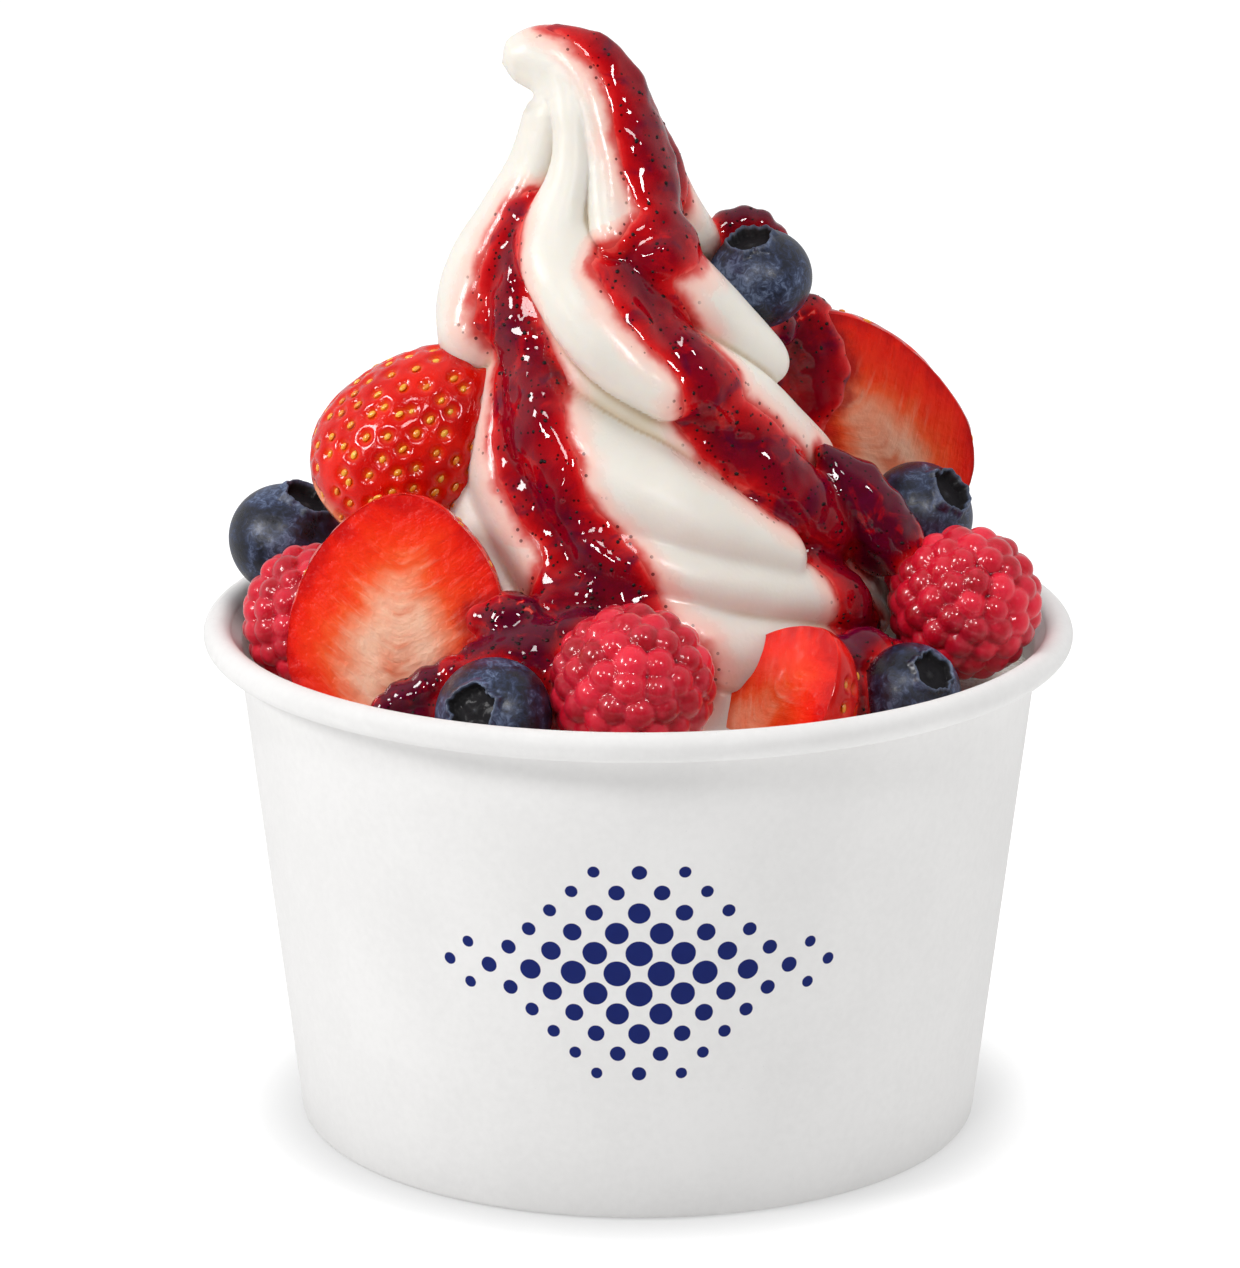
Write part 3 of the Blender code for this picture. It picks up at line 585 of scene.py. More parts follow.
soft = rough_noise(SKIN, 9.0, 21) * 0.16 + noise(SKIN, 2.4, 24) * 0.035
lift = ease(125.2, 122.0, S)
OUT = OUT + soft * lift
SKIN = placed(OUT)
turn = np.radians(np.arange(COLS) * 360 / COLS)
rings, ring_wave = [], []
for r, z, wave in ((32.6, 51.35, 0.25), (34.2, 51.1, 0.35), (36.0, 51.0, 0.4), (38.0, 51.0, 0.4), (40.0, 51.0, 0.35), (41.8, 50.9, 0.2),
                   (wall_radius(50.6) - PAPER + 0.2, 50.6, 0.0), (wall_radius(44) - PAPER + 0.2, 44.0, 0.0), (wall_radius(30) - PAPER + 0.2, 30.0, 0.0),
                   (wall_radius(16) - PAPER + 0.2, 16.0, 0.0), (wall_radius(6.2) - PAPER + 0.2, 6.2, 0.0), (36.0, 5.7, 0.0), (18.0, 5.7, 0.0), (0.4, 5.7, 0.0)):
    points = np.stack([r * np.cos(turn), r * np.sin(turn), np.full(COLS, z)], -1)
    points[:, 2] += wave * rough_noise(points, 5.0, 31)
    rings.append(points)
body = np.concatenate([SKIN.reshape(-1, 3), *rings])
quads = outward(body, grid_faces(ROWS + len(rings), COLS))
tip = np.arange(COLS)
last = (ROWS + len(rings) - 1) * COLS + tip
flip = (quads[0] != grid_faces(2, COLS)[0]).any()
tip_cap, foot_cap = (tip[None], last[None, ::-1]) if flip else (tip[None, ::-1], last[None])
yogurt = add_object("yogurt_swirl", body, [quads, tip_cap, foot_cap], [YOGURT.material])
extra = len(rings) * COLS
ring_points = np.concatenate(rings)
ring_edge = np.full(extra, 30.0)
for x, y, z, r in BLOBS:
    ring_edge = np.minimum(ring_edge, np.sqrt(((ring_points - (x, y, z)) ** 2).sum(-1)) - r)
# How deep each point lies in a crease, which the yogurt look paints as shade.
painted_crease_shade = np.clip((blurred(OUT) - OUT) / 0.9, 0, 1)
put(yogurt, edge=np.concatenate([EDGE.ravel(), ring_edge]), crease=np.concatenate([painted_crease_shade.ravel(), np.full(extra, 0.3)]),
    wet=np.concatenate([(1 - ease(0.5, 5.0, EDGE)).ravel(), np.full(extra, 0.5)]))
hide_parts("frozen_yogurt")
yogurt_tree = BVHTree.FromPolygons([Vector(p) for p in body], [tuple(q) for q in quads.tolist()])


# --------------------------------------------------------------------- looks
def strawberry_look():
    look = Look("strawberry_flesh", Roughness=0.3, Subsurface_Weight=0.12, Subsurface_Scale=0.0016, Coat_Weight=0.7, Coat_Roughness=0.06, Coat_IOR=1.42,
                Specular_IOR_Level=0.12)
    look.set(Subsurface_Radius=(1.0, 0.22, 0.12))
    flat, inner, along, across = (look.attribute(n) for n in ("cutface", "inner", "along", "across"))
    pit, sheen = look.attribute("pit"), look.attribute("pale")
    # Outer skin: deep red between the pits, brighter round each seed, paler at the stem.
    blotch = look.noise(4.5, 3.0)
    skin = look.mix(look.span(blotch, 0.3, 0.72), (196, 6, 4), (226, 26, 8))
    skin = look.mix(look.span(pit, 0.3, 0.95, 0.0, 0.7), skin, (236, 84, 14))
    skin = look.mix(look.span(sheen, 0.0, 1.0, 0.0, 0.8), skin, (240, 168, 120))
    # Cut face: a red rim, orange flesh, a pale middle with fibres that fan out.
    out = look.math("ABSOLUTE", across)
    slant = look.math("SUBTRACT", look.math("MULTIPLY", along, 0.024), look.math("MULTIPLY", look.math("POWER", out, 1.3), 0.0085))
    fan = look.vector(slant, look.math("MULTIPLY", across, 0.0022), look.math("MULTIPLY", look.noise(6.0), 0.001))
    fibre = look.noise(0.75, 3.0, fan, 0.6)
    strand = look.noise(2.1, 3.0, fan, 0.5)
    wander = look.math("MULTIPLY", look.math("SUBTRACT", look.noise(2.6, 4.0), 0.5), 0.30)
    pale = look.math("ADD", look.math("ADD", inner, wander), look.math("MULTIPLY", look.math("SUBTRACT", strand, 0.5), 0.42))
    flesh = look.ramp(pale, (0.0, (206, 10, 6)), (0.12, (236, 30, 8)), (0.40, (248, 58, 16)), (0.58, (250, 92, 44)), (0.76, (250, 144, 106)), (1.0, (254, 198, 168)))
    flesh = look.mix(look.math("MULTIPLY", look.span(fibre, 0.52, 0.72), look.span(inner, 0.2, 0.8, 0.0, 0.42)), flesh, (252, 186, 156))
    core = look.math("MULTIPLY", look.span(look.math("ABSOLUTE", across), 0.22, 0.05), look.span(inner, 0.72, 0.98))
    flesh = look.mix(look.math("MULTIPLY", core, look.span(strand, 0.42, 0.6, 0.0, 0.75)), flesh, (232, 104, 58))
    colour = look.mix(look.span(flat, 0.35, 0.65), skin, flesh)
    stain = look.span(look.math("ADD", look.attribute("edge"), look.math("MULTIPLY", look.noise(2.0, 4.0), 2.8)), 3.0, 0.9, 0.0, 0.85)
    colour = look.mix(stain, colour, (168, 8, 16))
    look.set(Base_Color=colour)
    grain = look.noise(0.5, 3.0)
    juice = look.noise(1.2, 3.0)
    look.set(Roughness=look.math("MULTIPLY_ADD", look.span(flat, 0.4, 0.6), 0.10, look.math("MULTIPLY_ADD", juice, 0.14, 0.12)))
    look.bump((look.math("MULTIPLY", fibre, look.span(flat, 0.4, 0.6)), 0.13), (grain, 0.03), (juice, 0.20))
    return look.material


def achene_look():
    look = Look("strawberry_seed", Roughness=0.3, Coat_Weight=0.6, Coat_Roughness=0.08)
    tone = look.noise(2.4, 2.0)
    look.set(Base_Color=look.ramp(tone, (0.25, (214, 92, 14)), (0.5, (238, 158, 30)), (0.75, (246, 196, 70))))
    look.bump((look.noise(0.3, 2.0), 0.02))
    return look.material


def raspberry_look():
    look = Look("raspberry_flesh", Roughness=0.3, Subsurface_Weight=0.18, Subsurface_Scale=0.0015, Coat_Weight=0.85, Coat_Roughness=0.09, Coat_IOR=1.42,
                Sheen_Weight=0.10, Sheen_Roughness=0.3, Specular_IOR_Level=0.2)
    look.set(Subsurface_Radius=(1.0, 0.16, 0.22), Sheen_Tint=linear((255, 176, 188)))
    tone, rim = look.attribute("tone"), look.attribute("rim")
    colour = look.ramp(tone, (0.0, (162, 4, 24)), (0.5, (200, 10, 38)), (1.0, (228, 32, 56)))
    colour = look.mix(look.span(look.noise(1.3, 3.0), 0.35, 0.7, 0.0, 0.5), colour, (222, 44, 70))
    # Painted shade: the gaps between drupelets darken to deep red, by the rim attribute.
    colour = look.mix(look.span(rim, 0.75, 1.0, 0.0, 0.85), colour, (112, 2, 20))
    look.set(Base_Color=colour)
    look.set(Roughness=look.math("MULTIPLY_ADD", look.noise(0.8, 3.0), 0.2, 0.22))
    look.bump((look.noise(0.35, 3.0), 0.035), (look.noise(1.1, 2.0), 0.06))
    return look.material


def blueberry_look():
    look = Look("blueberry_skin", Roughness=0.4, Coat_Weight=0.12, Coat_Roughness=0.2, Specular_IOR_Level=0.5)
    crown, pit, red = look.attribute("crown"), look.attribute("pit"), look.attribute("edge")
    patches = look.noise(5.2, 5.0, None, 0.62, 0.6)
    rub = look.noise(1.1, 5.0, None, 0.7, 1.2)
    bloom = look.math("ADD", look.math("MULTIPLY", look.span(patches, 0.32, 0.68), 0.55), look.math("MULTIPLY", look.span(rub, 0.3, 0.7), 0.45))
    colour = look.ramp(bloom, (0.10, (6, 8, 18)), (0.38, (16, 22, 42)), (0.62, (38, 50, 80)), (0.92, (98, 114, 146)))
    colour = look.mix(look.span(crown, 0.3, 1.0, 0.0, 0.45), colour, (104, 116, 142))
    colour = look.mix(look.span(pit, 0.25, 0.8), colour, (14, 10, 16))
    stain = look.span(look.math("ADD", red, look.math("MULTIPLY", look.noise(2.5), 2.4)), 3.0, 0.6, 0.0, 0.85)
    colour = look.mix(stain, colour, (70, 8, 24))
    look.set(Base_Color=colour)
    rough = look.math("SUBTRACT", look.math("MULTIPLY_ADD", bloom, 0.3, 0.24), look.math("MULTIPLY", stain, 0.25))
    look.set(Roughness=look.math("MULTIPLY_ADD", pit, 0.4, rough))
    look.bump((look.noise(0.4, 3.0), 0.02), (rub, 0.05))
    return look.material


def sauce_look():
    look = Look("berry_sauce", Roughness=0.3, Coat_Weight=1.0, Coat_Roughness=0.03, Coat_IOR=1.42, Subsurface_Weight=0.28, Subsurface_Scale=0.0016,
                Specular_IOR_Level=0.0)
    look.set(Subsurface_Radius=(1.0, 0.12, 0.14))
    thick = look.math("ADD", look.attribute("thick"), look.math("MULTIPLY", look.math("SUBTRACT", look.noise(2.4, 4.0), 0.5), 0.5))
    colour = look.ramp(look.math("MULTIPLY", thick, 0.5), (0.0, (228, 84, 76)), (0.08, (210, 30, 32)), (0.20, (182, 8, 16)), (0.42, (142, 3, 20)), (0.66, (114, 2, 26)), (1.0, (88, 2, 32)))
    pulp = look.noise(3.6, 4.0, None, 0.6, 0.8)
    colour = look.mix(look.span(pulp, 0.54, 0.72, 0.0, 0.8), colour, (186, 10, 18))
    colour = look.mix(look.span(look.noise(4.4, 3.0, None, 0.5, 1.0), 0.53, 0.70, 0.0, 0.8), colour, (88, 3, 38))
    speck = look.math("LESS_THAN", look.cells(0.95), 0.16)
    colour = look.mix(look.math("MULTIPLY", speck, 0.85), colour, (30, 4, 8))
    look.set(Base_Color=colour)
    look.bump((look.noise(2.6, 2.0, None, 0.5, 0.5), 0.60), (look.noise(0.8, 2.0), 0.08))
    return look.material


def seed_look():
    look = Look("sauce_seed", Roughness=0.45, Specular_IOR_Level=0.25)
    look.set(Base_Color=look.ramp(look.noise(1.5, 2.0), (0.3, (12, 2, 3)), (0.55, (30, 4, 6)), (0.75, (64, 10, 8))))
    look.bump((look.noise(0.25, 2.0), 0.02))
    return look.material


STRAWBERRY, ACHENE, RASPBERRY, BLUEBERRY, SAUCE, SEED = (
    strawberry_look(), achene_look(), raspberry_look(), blueberry_look(), sauce_look(), seed_look())


def blob_distance(points):
    total = np.full(points.shape[:-1], 30.0)
    for x, y, z, r in BLOBS:
        total = np.minimum(total, np.sqrt(((points - (x, y, z)) ** 2).sum(-1)) - r)
    return total


# --------------------------------------------------------------- strawberries
STRAWBERRIES = (
    ("left_high", (-16.4, -5.6, 87.2), (-31.0, -4.0, 68.6), (0.50, 0.80, -0.30), 10.2, 2.0, 0.45),
    ("left_front", (-24.8, -20.5, 76), (-26, -26.3, 50.6), (-0.1, -0.95, 0.25), 12.0, 1.3, 1.0),
    ("right_high", (18.4, 9.5, 88.6), (32.6, 11, 65), (0.05, -0.98, 0.1), 9.6, 1.0, 0.85),
    ("right_front", (21.2, -29.6, 62.2), (7.2, -28.4, 46.6), (-0.6, -0.55, 0.58), 9.2, 1.0, 0.7),
    ("back_left", (-14.5, 20.5, 80.5), (-21, 31, 58.5), (0.35, 0.9, 0.4), 10.8, 1.2, 1.0),
    ("back_right", (14, 23, 74), (17.5, 33.5, 51.5), (-0.25, 0.92, 0.3), 10.4, 1.2, 0.9),
)
seed_points, seed_faces = icosphere(2)


def outline(t):
    """The share of the radius from the stem, 0, to the tip, 1."""
    low = np.sqrt(np.clip(1 - ((0.34 - t) / 0.39) ** 2, 0, 1))
    high = np.clip(1 - (np.clip(t - 0.34, 0, 1) / 0.66) ** 2, 0, 1) ** 0.6
    return np.where(t < 0.34, low, high)


def strawberry(name, tip, stem, face, radius, cut, fleshy, seed):
    tip, stem, face = (np.array(v, float) for v in (tip, stem, face))
    length = np.linalg.norm(tip - stem)
    z_axis = (tip - stem) / length
    y_axis = -unit(face - (face @ z_axis) * z_axis)
    x_axis = np.cross(y_axis, z_axis)
    turned = np.stack([x_axis, y_axis, z_axis], -1)
    rows, skin_cols, face_cols = 84, 132, 44
    t = 0.5 - 0.5 * np.cos(np.linspace(0, math.pi, rows))
    t = 0.35 * t + 0.65 * np.linspace(0, 1, rows)
    big = np.maximum(outline(t) * radius, 0.02)
    half = np.arcsin(np.clip(cut / big, 0, 1))[:, None]
    v = np.linspace(0, 1, skin_cols)[None]
    angle = -half + (math.pi + 2 * half) * v
    skin = np.stack([big[:, None] * np.cos(angle), big[:, None] * np.sin(angle), np.repeat((t * length)[:, None], skin_cols, 1)], -1)
    reach = np.sqrt(np.clip(big ** 2 - cut ** 2, 0, None))[:, None]
    w = np.linspace(0, 1, face_cols + 2)[None, 1:-1]
    level = np.where(big > cut, cut, big)[:, None]
    side = -reach + 2 * reach * (0.5 - 0.5 * np.cos(math.pi * w)) * 1.0
    flat = np.stack([side, np.repeat(-level, face_cols, 1), np.repeat((t * length)[:, None], face_cols, 1)], -1)

    # Seeds on rings round the skin, and the pit that each sits in.
    places = []
    ring_s = np.arange(1.5, length - 0.4, 2.15)
    for k, z in enumerate(ring_s):
        ring_r = float(outline(np.array(z / length)) * radius)
        count = max(3, int(round(2 * math.pi * ring_r / 2.6)))
        for c in range(count):
            a = 2 * math.pi * (c + 0.5 * (k % 2)) / count + rng.normal(0, 0.45) / max(ring_r, 2.0)
            places.append((ring_r * math.cos(a), ring_r * math.sin(a), z + rng.normal(0, 0.30)))
    places = np.array(places)
    places = places[places[:, 1] > -cut + 0.5]
    place_t = places[:, 2] / length
    slope = (outline(place_t + 0.01) - outline(place_t - 0.01)) * radius / (0.02 * length)
    place_r = np.hypot(places[:, 0], places[:, 1])
    normals = unit(np.stack([places[:, 0] / place_r, places[:, 1] / place_r, -slope], -1))

    slope_t = (outline(t + 0.004) - outline(t - 0.004)) * radius / (0.008 * length)
    skin_normal = unit(np.stack([np.cos(angle), np.sin(angle), np.repeat(-slope_t[:, None], skin_cols, 1)], -1))
    near = np.full(skin.shape[:2], 9.0)
    for p in places:
        near = np.minimum(near, np.sqrt(((skin - p) ** 2).sum(-1)))
    ends = ease(0.0, 0.05, t)[:, None] * (1 - ease(0.97, 1.0, t))[:, None]
    swell = 0.16 * ease(0.45, 1.1, near) - 0.40 * np.exp(-(near / 0.60) ** 2) + 0.06 * noise(skin, 1.5, seed + 1)
    edge_fade = ease(0.0, 0.03, v) * ease(1.0, 0.97, v)
    skin = skin + skin_normal * (ends * (0.3 + 0.7 * edge_fade) * (swell + 0.22 * noise(skin, 6.0, seed)))[..., None]
    flat[..., 1] += 0.10 * noise(flat, 3.0, seed + 2) + 0.05 * noise(flat, 1.1, seed + 5)

    across = np.concatenate([skin[..., 0], flat[..., 0]], 1) / radius
    ring_points = np.concatenate([skin, flat], 1)
    cols = skin_cols + face_cols
    cutface = np.concatenate([np.zeros(skin.shape[:2]), np.ones(flat.shape[:2])], 1)
    cutface[:, 0] = cutface[:, skin_cols - 1] = 0.0
    # How far in from the rim of the cut face: 0 at the rim, 1 in the middle.
    rim_far = np.minimum(reach - np.abs(flat[..., 0]), (1 - t)[:, None] * length * 1.0)
    inner_face = np.clip(rim_far / (radius * 0.80), 0, 1) ** 1.05
    lower = ease(0.02, 0.75, 1 - t)[:, None]
    inner_face = np.clip(inner_face * (0.55 + 0.6 * lower) * fleshy, 0, 1)
    inner = np.concatenate([np.zeros(skin.shape[:2]), inner_face], 1)
    pit = np.concatenate([np.exp(-(near / 0.9) ** 2), np.zeros(flat.shape[:2])], 1)
    pale = np.repeat((1 - ease(0.0, 0.13, t + 0.03 * 0))[:, None], cols, 1) * (1 - cutface)

    points = ring_points.reshape(-1, 3) @ turned.T + stem
    quads = outward(points, grid_faces(rows, cols))
    # Close the stem end with a shallow dished cap, and the tip with its last ring.
    cap_rows = []
    for share, sink in ((0.8, 0.10), (0.55, 0.35), (0.28, 0.75), (0.03, 0.95)):
        dish = ring_points[0] * (share, share, 1.0)
        dish[:, 1] = np.maximum(dish[:, 1], -level[0, 0])
        dish[:, 2] = sink + 0.12 * noise(dish, 2.0, seed + 8)
        cap_rows.append(dish @ turned.T + stem)
    cap = np.concatenate(cap_rows)
    first = len(points)
    links = []
    previous = np.arange(cols)
    for k in range(len(cap_rows)):
        this = first + k * cols + np.arange(cols)
        links.append(np.stack([np.roll(previous, -1), previous, this, np.roll(this, -1)], -1))
        previous = this
    links = np.concatenate(links)
    if (quads[0] != grid_faces(2, cols)[0]).any():
        links = links[:, ::-1]
    points = np.concatenate([points, cap])
    fill = lambda value: np.concatenate([value.ravel(), np.full(len(cap), 0.0)])
    tip_ring = np.arange((rows - 1) * cols, rows * cols)[None]
    closing = previous[None]

    sizes = np.stack([rng.uniform(0.42, 0.56, len(places)), rng.uniform(0.27, 0.36, len(places)), np.full(len(places), 0.2)], -1)
    seats = places - normals * 0.17
    turns = frames_from(normals, np.tile([0.0, 0.0, 1.0], (len(places), 1)) + rng.normal(0, 0.15, (len(places), 3)))
    dots, dot_faces = many(seed_points, seed_faces, seats, turns, sizes)
    dots = dots @ turned.T + stem
    total = len(points)
    all_faces = [quads, links, tip_ring, closing, dot_faces + total]
    counts = [len(quads), len(links), 1, 1, len(dot_faces)]
    index = np.concatenate([np.full(c, k, np.int32) for c, k in zip(counts, (0, 0, 0, 0, 1))])
    made = add_object("berry_straw_" + name, np.concatenate([points, dots]), all_faces, [STRAWBERRY, ACHENE], index)
    rest = np.zeros(len(dots))
    edge_of = blob_distance(np.concatenate([points, dots]))
    put(made, cutface=np.concatenate([fill(cutface), rest]), inner=np.concatenate([fill(inner), rest]),
        along=np.concatenate([np.repeat(t[:, None], cols, 1).ravel(), np.zeros(len(cap)), rest]),
        across=np.concatenate([fill(across), rest]), pit=np.concatenate([fill(pit), rest]),
        pale=np.concatenate([pale.ravel(), np.ones(len(cap)), rest]), edge=edge_of)
    merged(made, 0.01)
    made.data.set_sharp_from_angle(angle=math.radians(62))
    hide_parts("strawberry_" + name)
    return made


fruit = [strawberry(*row, seed=40 + k) for k, row in enumerate(STRAWBERRIES)]


# ---------------------------------------------------------------- raspberries
RASPBERRIES = (
    ("front", (-0.7, -33.6, 58.2), (0.15, -0.55, 0.8), 8.9, 8.9),
    ("right", (35.6, -11, 61.1), (0.3, -0.55, 0.75), 8.5, 8.6),
    ("left", (-35.4, -6.9, 57.7), (-0.3, 0.1, 0.9), 8.1, 8.9),
    ("back", (-2.5, 33.6, 58), (0.1, 0.6, 0.78), 8.7, 8.9),
    ("back_side", (30.6, 19.6, 56.6), (0.5, 0.3, 0.78), 7.3, 7.8),
)
ball, ball_faces = icosphere(6)


def axes_of(direction, lean=(0.31, 0.17, 0.05)):
    z = unit(np.array(direction, float))
    x = unit(np.cross(np.array(lean, float) + (0, 1, 0), z))
    return np.stack([x, np.cross(z, x), z], -1)


def raspberry(name, centre, axis, radius, half, seed):
    bead = radius * 0.214
    middles = []
    for theta, count in ((5, 1), (23, 6), (42, 11), (61, 14), (79, 16), (97, 16), (115, 14), (132, 11), (149, 7)):
        for c in range(count):
            turn = 2 * math.pi * (c + 0.5 * (theta % 2)) / count + rng.normal(0, 0.035) + theta
            lean = math.radians(theta + rng.normal(0, 1.6))
            size = bead * rng.uniform(0.92, 1.10) * (0.9 if theta < 20 else 1.0)
            out, up = radius - size * 0.98, half - size * 0.98
            middles.append((out * math.sin(lean) * math.cos(turn), out * math.sin(lean) * math.sin(turn), up * math.cos(lean), size, rng.uniform()))
    middles = np.array(middles)
    shape = ball * (radius, radius, half)
    direction = unit(shape)
    best = 0.84 / np.sqrt(((direction / (radius, radius, half)) ** 2).sum(-1))
    # rim: 1 at a drupelet's edge, where the raspberry look paints shade in the gaps.
    tone, rim = np.full(len(best), 0.3), np.ones(len(best))
    for x, y, z, size, shade in middles:
        along = direction @ (x, y, z)
        inside = size ** 2 - (x * x + y * y + z * z - along ** 2)
        reach = np.where(inside > 0, along + np.sqrt(np.maximum(inside, 0)), 0)
        nearer = reach > best
        best = np.where(nearer, reach, best)
        tone = np.where(nearer, shade, tone)
        rim = np.where(nearer, 1 - inside / size ** 2, rim)
    points = direction * best[:, None]
    points += direction * (0.05 * noise(points, 1.1, seed))[:, None]
    points = points @ axes_of(axis).T + centre
    made = add_object("berry_rasp_" + name, points, [ball_faces], [RASPBERRY])
    put(made, tone=tone, rim=rim)
    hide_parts("raspberry_" + name)
    return made


fruit += [raspberry(*row, seed=60 + k) for k, row in enumerate(RASPBERRIES)]


# ---------------------------------------------------------------- blueberries
BLUEBERRIES = (
    ("left", (-39.2, 8, 63.1), (0.42, -0.22, 0.88), 6.8),
    ("front_left", (-15.3, -34.6, 55.2), (-0.4, -0.83, 0.4), 6.3),
    ("front_right", (29.2, -24.2, 54.9), (0.45, -0.6, 0.66), 5.4),
    ("right", (31.3, 1.6, 67.8), (0.62, -0.45, 0.64), 6.0),
    ("peak", (13.3, 1.6, 94.5), (-0.22, -0.30, 0.92), 5.8),
    ("back_left", (-31.6, 19, 57), (-0.3, 0.5, 0.8), 6.3),
    ("back", (0.6, 26, 72), (0.1, 0.75, 0.65), 5.8),
    ("back_right", (35.2, 6.6, 56.8), (0.5, 0.55, 0.66), 6.0),
)


def blueberry(name, centre, crown, radius, seed):
    cols = 100
    theta = np.concatenate([np.linspace(0.4, 34, 30), np.linspace(35.5, 178.8, 42)])
    th, ph = np.meshgrid(np.radians(theta), np.radians(np.arange(cols) * 360 / cols), indexing="ij")
    rho, up = np.sin(th), 0.92 * np.cos(th)
    # The calyx: five ragged lobes round a dark pit.
    bent = ph + 0.16 * np.sin(ph * 2 + seed) + 0.10 * np.sin(ph * 3 + 2 * seed)
    lobe = np.abs(((bent * 5 / (2 * math.pi) + 0.13 * seed) % 1.0) - 0.5) * 2  # 0 on a lobe's point, 1 between two
    notch = np.abs(((bent * 13 / (2 * math.pi) + 0.31 * seed) % 1.0) - 0.5) * 2
    ragged = np.stack([np.cos(ph) * 3, np.sin(ph) * 3, np.full_like(ph, seed * 3.7)], -1)
    rough = noise(ragged, 0.8, seed)
    lip = 0.36 + 0.085 * (1 - lobe) ** 0.8 + 0.035 * notch + 0.03 * rough
    rise = 0.05 + 0.05 * (1 - lobe) + 0.03 * notch + 0.03 * rough
    sphere_up = 0.92 * np.sqrt(np.clip(1 - rho ** 2, 0, 1))
    x = rho / lip
    inside = ease(1.0, 0.90, x)
    floor = 0.70 + 0.05 * ease(0.45, 0.0, x) + 0.015 * noise(np.stack([rho * np.cos(ph) * 9, rho * np.sin(ph) * 9, ph * 0], -1), 1.0, seed + 3)
    wall_shape = ease(1.22, 1.0, x) * (1 - inside)
    top = np.where(up > 0, sphere_up + rise * ease(1.24, 1.02, x), up)
    up = np.where(up > 0.55, top * (1 - inside) + floor * inside, up)
    points = np.stack([rho * np.cos(ph), rho * np.sin(ph), up], -1) * radius
    lump = 1 + 0.012 * noise(points, radius * 0.8, seed + 7)
    points = points * lump[..., None]
    rows = len(theta)
    flat_points = points.reshape(-1, 3) @ axes_of(crown).T + centre
    quads = outward(flat_points, grid_faces(rows, cols))
    flip = (quads[0] != grid_faces(2, cols)[0]).any()
    first, last = np.arange(cols)[None], ((rows - 1) * cols + np.arange(cols))[None]
    if not flip:
        first, last = first[:, ::-1], last
    else:
        last = last[:, ::-1]
    made = add_object("berry_blue_" + name, flat_points, [quads, first, last], [BLUEBERRY])
    put(made, crown=wall_shape, pit=inside * ease(0.05, 0.3, x) + 0.7 * inside, edge=blob_distance(flat_points))
    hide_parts("blueberry_" + name)
    return made


fruit += [blueberry(*row, seed=80 + k) for k, row in enumerate(BLUEBERRIES)]


# ------------------------------------------------------------------ the sauce
smooth_out = blurred(OUT, 3)
du = np.roll(SKIN, -1, 1) - np.roll(SKIN, 1, 1)
dv = np.gradient(SKIN, axis=0)
smooth_skin = placed(smooth_out)
normal = unit(np.cross(np.roll(smooth_skin, -2, 1) - np.roll(smooth_skin, 2, 1), -np.gradient(smooth_skin, axis=0)))
centre_line = np.stack([spine_x, np.zeros_like(spine_x), spine_z], -1)
normal = np.where(((smooth_skin - centre_line) * normal).sum(-1, keepdims=True) < 0, -normal, normal)
own_edge = sauce_edge(BEARING, S, RADIUS, placed(RADIUS - crease * (1 - FOLD)))
inside = np.clip(-own_edge, 0, None)
lumps = 0.42 * noise(SKIN, 3.6, 11) + 0.24 * noise(SKIN, 2.0, 12)
height = 1.30 * (1 - np.exp(-(inside / 1.7) ** 1.3)) + lumps * ease(0.4, 2.0, inside)
height = np.where(own_edge > 0, -1.2 * ease(0, 1.0, own_edge), np.maximum(height, 0.05))
fill = np.clip(smooth_out - OUT, 0, 2.2) * ease(0.0, 1.8, inside)
shrink = ease(125.2, 119.0, S) * 0.6 + 0.4
outer = SKIN + normal * ((height + 0.8 * fill) * shrink)[..., None]
inner = SKIN - normal * (1.6 * shrink * np.minimum(1, RADIUS / 3))[..., None]
mask = (own_edge < 0.9)
cell = mask[:-1] & mask[1:] & np.roll(mask, -1, 1)[:-1] & np.roll(mask, -1, 1)[1:]
cells = grid_faces(ROWS, COLS).reshape(ROWS - 1, COLS, 4)
top_faces = cells[cell]
low_faces = cells[cell][:, ::-1] + ROWS * COLS
walls = []
for gap, (a, b) in ((~np.roll(cell, 1, 1), (0, 3)), (~np.roll(cell, -1, 1), (2, 1)),
                    (~np.concatenate([np.zeros((1, COLS), bool), cell[:-1]]), (1, 0)),
                    (~np.concatenate([cell[1:], np.zeros((1, COLS), bool)]), (3, 2))):
    chosen = cells[cell & gap]
    walls.append(np.stack([chosen[:, a], chosen[:, b], chosen[:, b] + ROWS * COLS, chosen[:, a] + ROWS * COLS], -1))
layer = np.concatenate([outer.reshape(-1, 3), inner.reshape(-1, 3)])
layer_faces = np.concatenate([top_faces, low_faces, *walls])
used, layer_faces = np.unique(layer_faces, return_inverse=True)
layer, layer_faces = layer[used], layer_faces.reshape(-1, 4)

drop, drop_faces = icosphere(4)
drops, drop_all = many(drop, drop_faces, BLOBS[:, :3], np.tile(np.eye(3), (len(BLOBS), 1, 1)), np.repeat(BLOBS[:, 3:4], 3, 1))
sauce = add_object("berry_sauce_runs", np.concatenate([layer, drops]), [layer_faces, drop_all + len(layer)], [SAUCE])
bpy.context.view_layer.objects.active = sauce
for other in bpy.context.selected_objects:
    other.select_set(False)
sauce.select_set(True)
remesh = sauce.modifiers.new("remesh", "REMESH")
remesh.mode, remesh.voxel_size, remesh.use_smooth_shade = "VOXEL", 0.43 * MM, True
ease_off = sauce.modifiers.new("ease", "SMOOTH")
ease_off.factor, ease_off.iterations = 0.6, 3
graph = bpy.context.evaluated_depsgraph_get()
made_mesh = bpy.data.meshes.new_from_object(sauce.evaluated_get(graph), depsgraph=graph)
sauce.modifiers.clear()
old_mesh, sauce.data = sauce.data, made_mesh
bpy.data.meshes.remove(old_mesh)
sauce.data.name = "berry_sauce_runs"
if not sauce.data.materials:
    sauce.data.materials.append(SAUCE)

